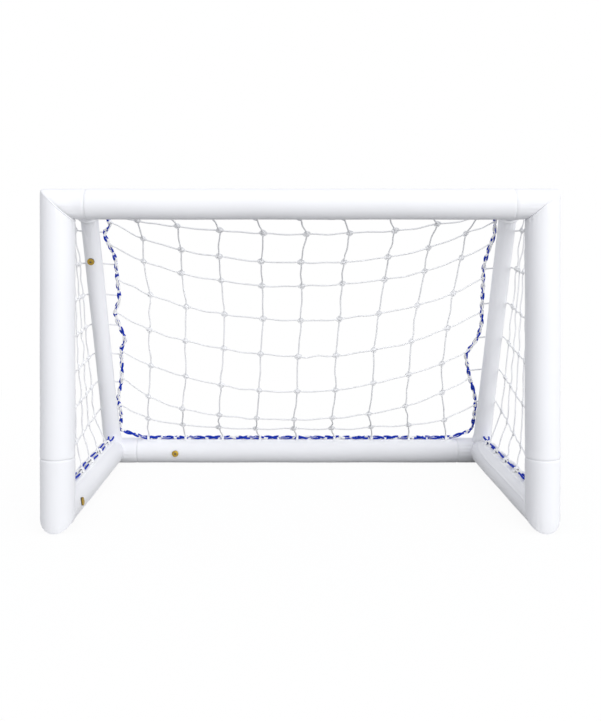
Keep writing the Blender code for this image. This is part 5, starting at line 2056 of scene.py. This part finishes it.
@dataclass
class Studio:
    """The camera, the lamps, the pale floor and the white surround."""

    eye: tuple[float, float, float] = (-0.028, -2.62, 0.643)
    lens: float = 48.86
    shift: tuple[float, float] = (0.01734, -0.1519)
    ambient: float = 0.88
    floor_tone: float = 0.34
    shadow_share: float = 0.07
    shadow_reach: float = 1.3
    floor_reach: float = 14.0

    def camera(self) -> None:
        """The photograph's level view, with the lens shifted down to the goal."""
        data = bpy.data.cameras.new("photo_camera")
        data.lens = self.lens
        data.shift_x, data.shift_y = self.shift
        data.clip_end = 60.0
        camera = placed("photo_camera", data)
        camera.location = self.eye
        camera.rotation_euler = (math.radians(90), 0.0, 0.0)
        bpy.context.scene.camera = camera

    def lamp(self, name: str, towards: tuple[float, float, float], spread: float,
             strength: float) -> None:
        """A far, broad, soft lamp.

        Args:
            name: the lamp's name.
            towards: direction from the goal to the lamp.
            spread: how wide the lamp looks from the goal, in degrees.
            strength: light falling square on a surface, in watts a square metre.
        """
        data = bpy.data.lights.new(name, "SUN")
        data.angle, data.energy = math.radians(spread), strength
        lamp = placed(name, data)
        x, y, z = towards
        lamp.location = (3 * x, 3 * y, 3 * z)
        lamp.rotation_euler = (math.atan2(math.hypot(x, y), z), 0.0, math.atan2(x, -y))

    def panel(self, name: str, place: tuple[float, float, float], size: tuple[float, float],
              power: float, turn: float, spread: float) -> None:
        """An upright soft light.

        Args:
            name: its name.
            place: its middle.
            size: its width and height.
            power: its power in watts.
            turn: degrees that it is turned to the left of straight back.
            spread: the angle of its beam in degrees.
        """
        data = bpy.data.lights.new(name, "AREA")
        data.shape, data.size, data.size_y, data.energy = "RECTANGLE", *size, power
        data.spread = math.radians(spread)
        lamp = placed(name, data)
        lamp.location = place
        lamp.rotation_euler = (math.radians(90), 0.0, math.radians(turn))
        lamp.visible_camera = False

    def white_world(self) -> None:
        """Plain white behind the goal and in reflections, a softer grey as light."""
        world = bpy.data.worlds.new("studio")
        bpy.context.scene.world = world
        world.use_nodes = True
        g = Graph(world.node_tree)
        world.node_tree.nodes.clear()
        seen = g.plain("ShaderNodeBackground", WHITE)
        light = g.plain("ShaderNodeBackground", (0.96, 0.97, 1.0))
        light.inputs["Strength"].default_value = self.ambient
        out = g.node("ShaderNodeOutputWorld")
        g.feed(out.inputs["Surface"],
               g.blend(g.seen_directly(), light.outputs[0], seen.outputs[0]))

    def floor(self) -> None:
        """A pale floor that the camera sees nearly white, with the goal's soft shadow on it.

        The shadow's share at a distance d from the middle fades as exp(-(d / reach)^4).
        """
        mesh = bpy.data.meshes.new("floor")
        edge = self.floor_reach
        mesh.from_pydata([(-edge, -edge, 0), (edge, -edge, 0), (edge, edge, 0),
                          (-edge, edge, 0)], [], [(0, 1, 2, 3)])
        material = bpy.data.materials.new("pale_floor")
        material.use_nodes = True
        g = Graph(material.node_tree)
        material.node_tree.nodes.clear()
        matt = g.plain("ShaderNodeBsdfDiffuse", (self.floor_tone,) * 3)
        pale = g.plain("ShaderNodeBsdfDiffuse", WHITE)
        glow = g.plain("ShaderNodeEmission", WHITE)
        away = g.node("ShaderNodeVectorMath", operation="LENGTH")
        g.feed(away.inputs[0], g.node("ShaderNodeTexCoord").outputs["Object"])
        power = g.math("POWER", g.math("DIVIDE", away.outputs["Value"], self.shadow_reach), 4.0)
        near = g.math("EXPONENT", g.math("MULTIPLY", power, -1.0))
        seen = g.blend(g.math("MULTIPLY", near, self.shadow_share), glow.outputs[0],
                       pale.outputs[0])
        out = g.node("ShaderNodeOutputMaterial")
        g.feed(out.inputs["Surface"], g.blend(g.seen_directly(), matt.outputs[0], seen))
        mesh.materials.append(material)
        floor = placed("floor", mesh)
        floor.location.z = -0.0005

    def build(self) -> None:
        """Everything round the goal."""
        self.camera()
        self.lamp("key", (0.50, -0.86, -0.02), 70.0, 2.60)
        self.panel("low_panel", (1.5, -3.1, 0.40), (3.0, 0.7), 12.0, 25.8, 180.0)
        self.panel("left_fill", (0.02, -0.38, 0.42), (0.30, 0.50), 0.12, 54.0, 56.0)
        self.panel("right_fill", (-0.02, -0.38, 0.42), (0.30, 0.50), 0.15, -54.0, 56.0)
        self.white_world()
        self.floor()
        bpy.context.scene.view_settings.view_transform = "Standard"


def main() -> None:
    """Build the goal piece by piece, then the studio."""
    logging.basicConfig(level=logging.INFO, format="%(name)s %(message)s")
    Studio().build()
    finishes = Finishes()
    laces = Laces(SIZE, finishes)
    laces.layout()
    Skins(SIZE, finishes).build()
    laces.build()
    Nets(SIZE, laces, finishes).build()
    build_valves(SIZE, finishes)


if __name__ == "__main__":
    main()
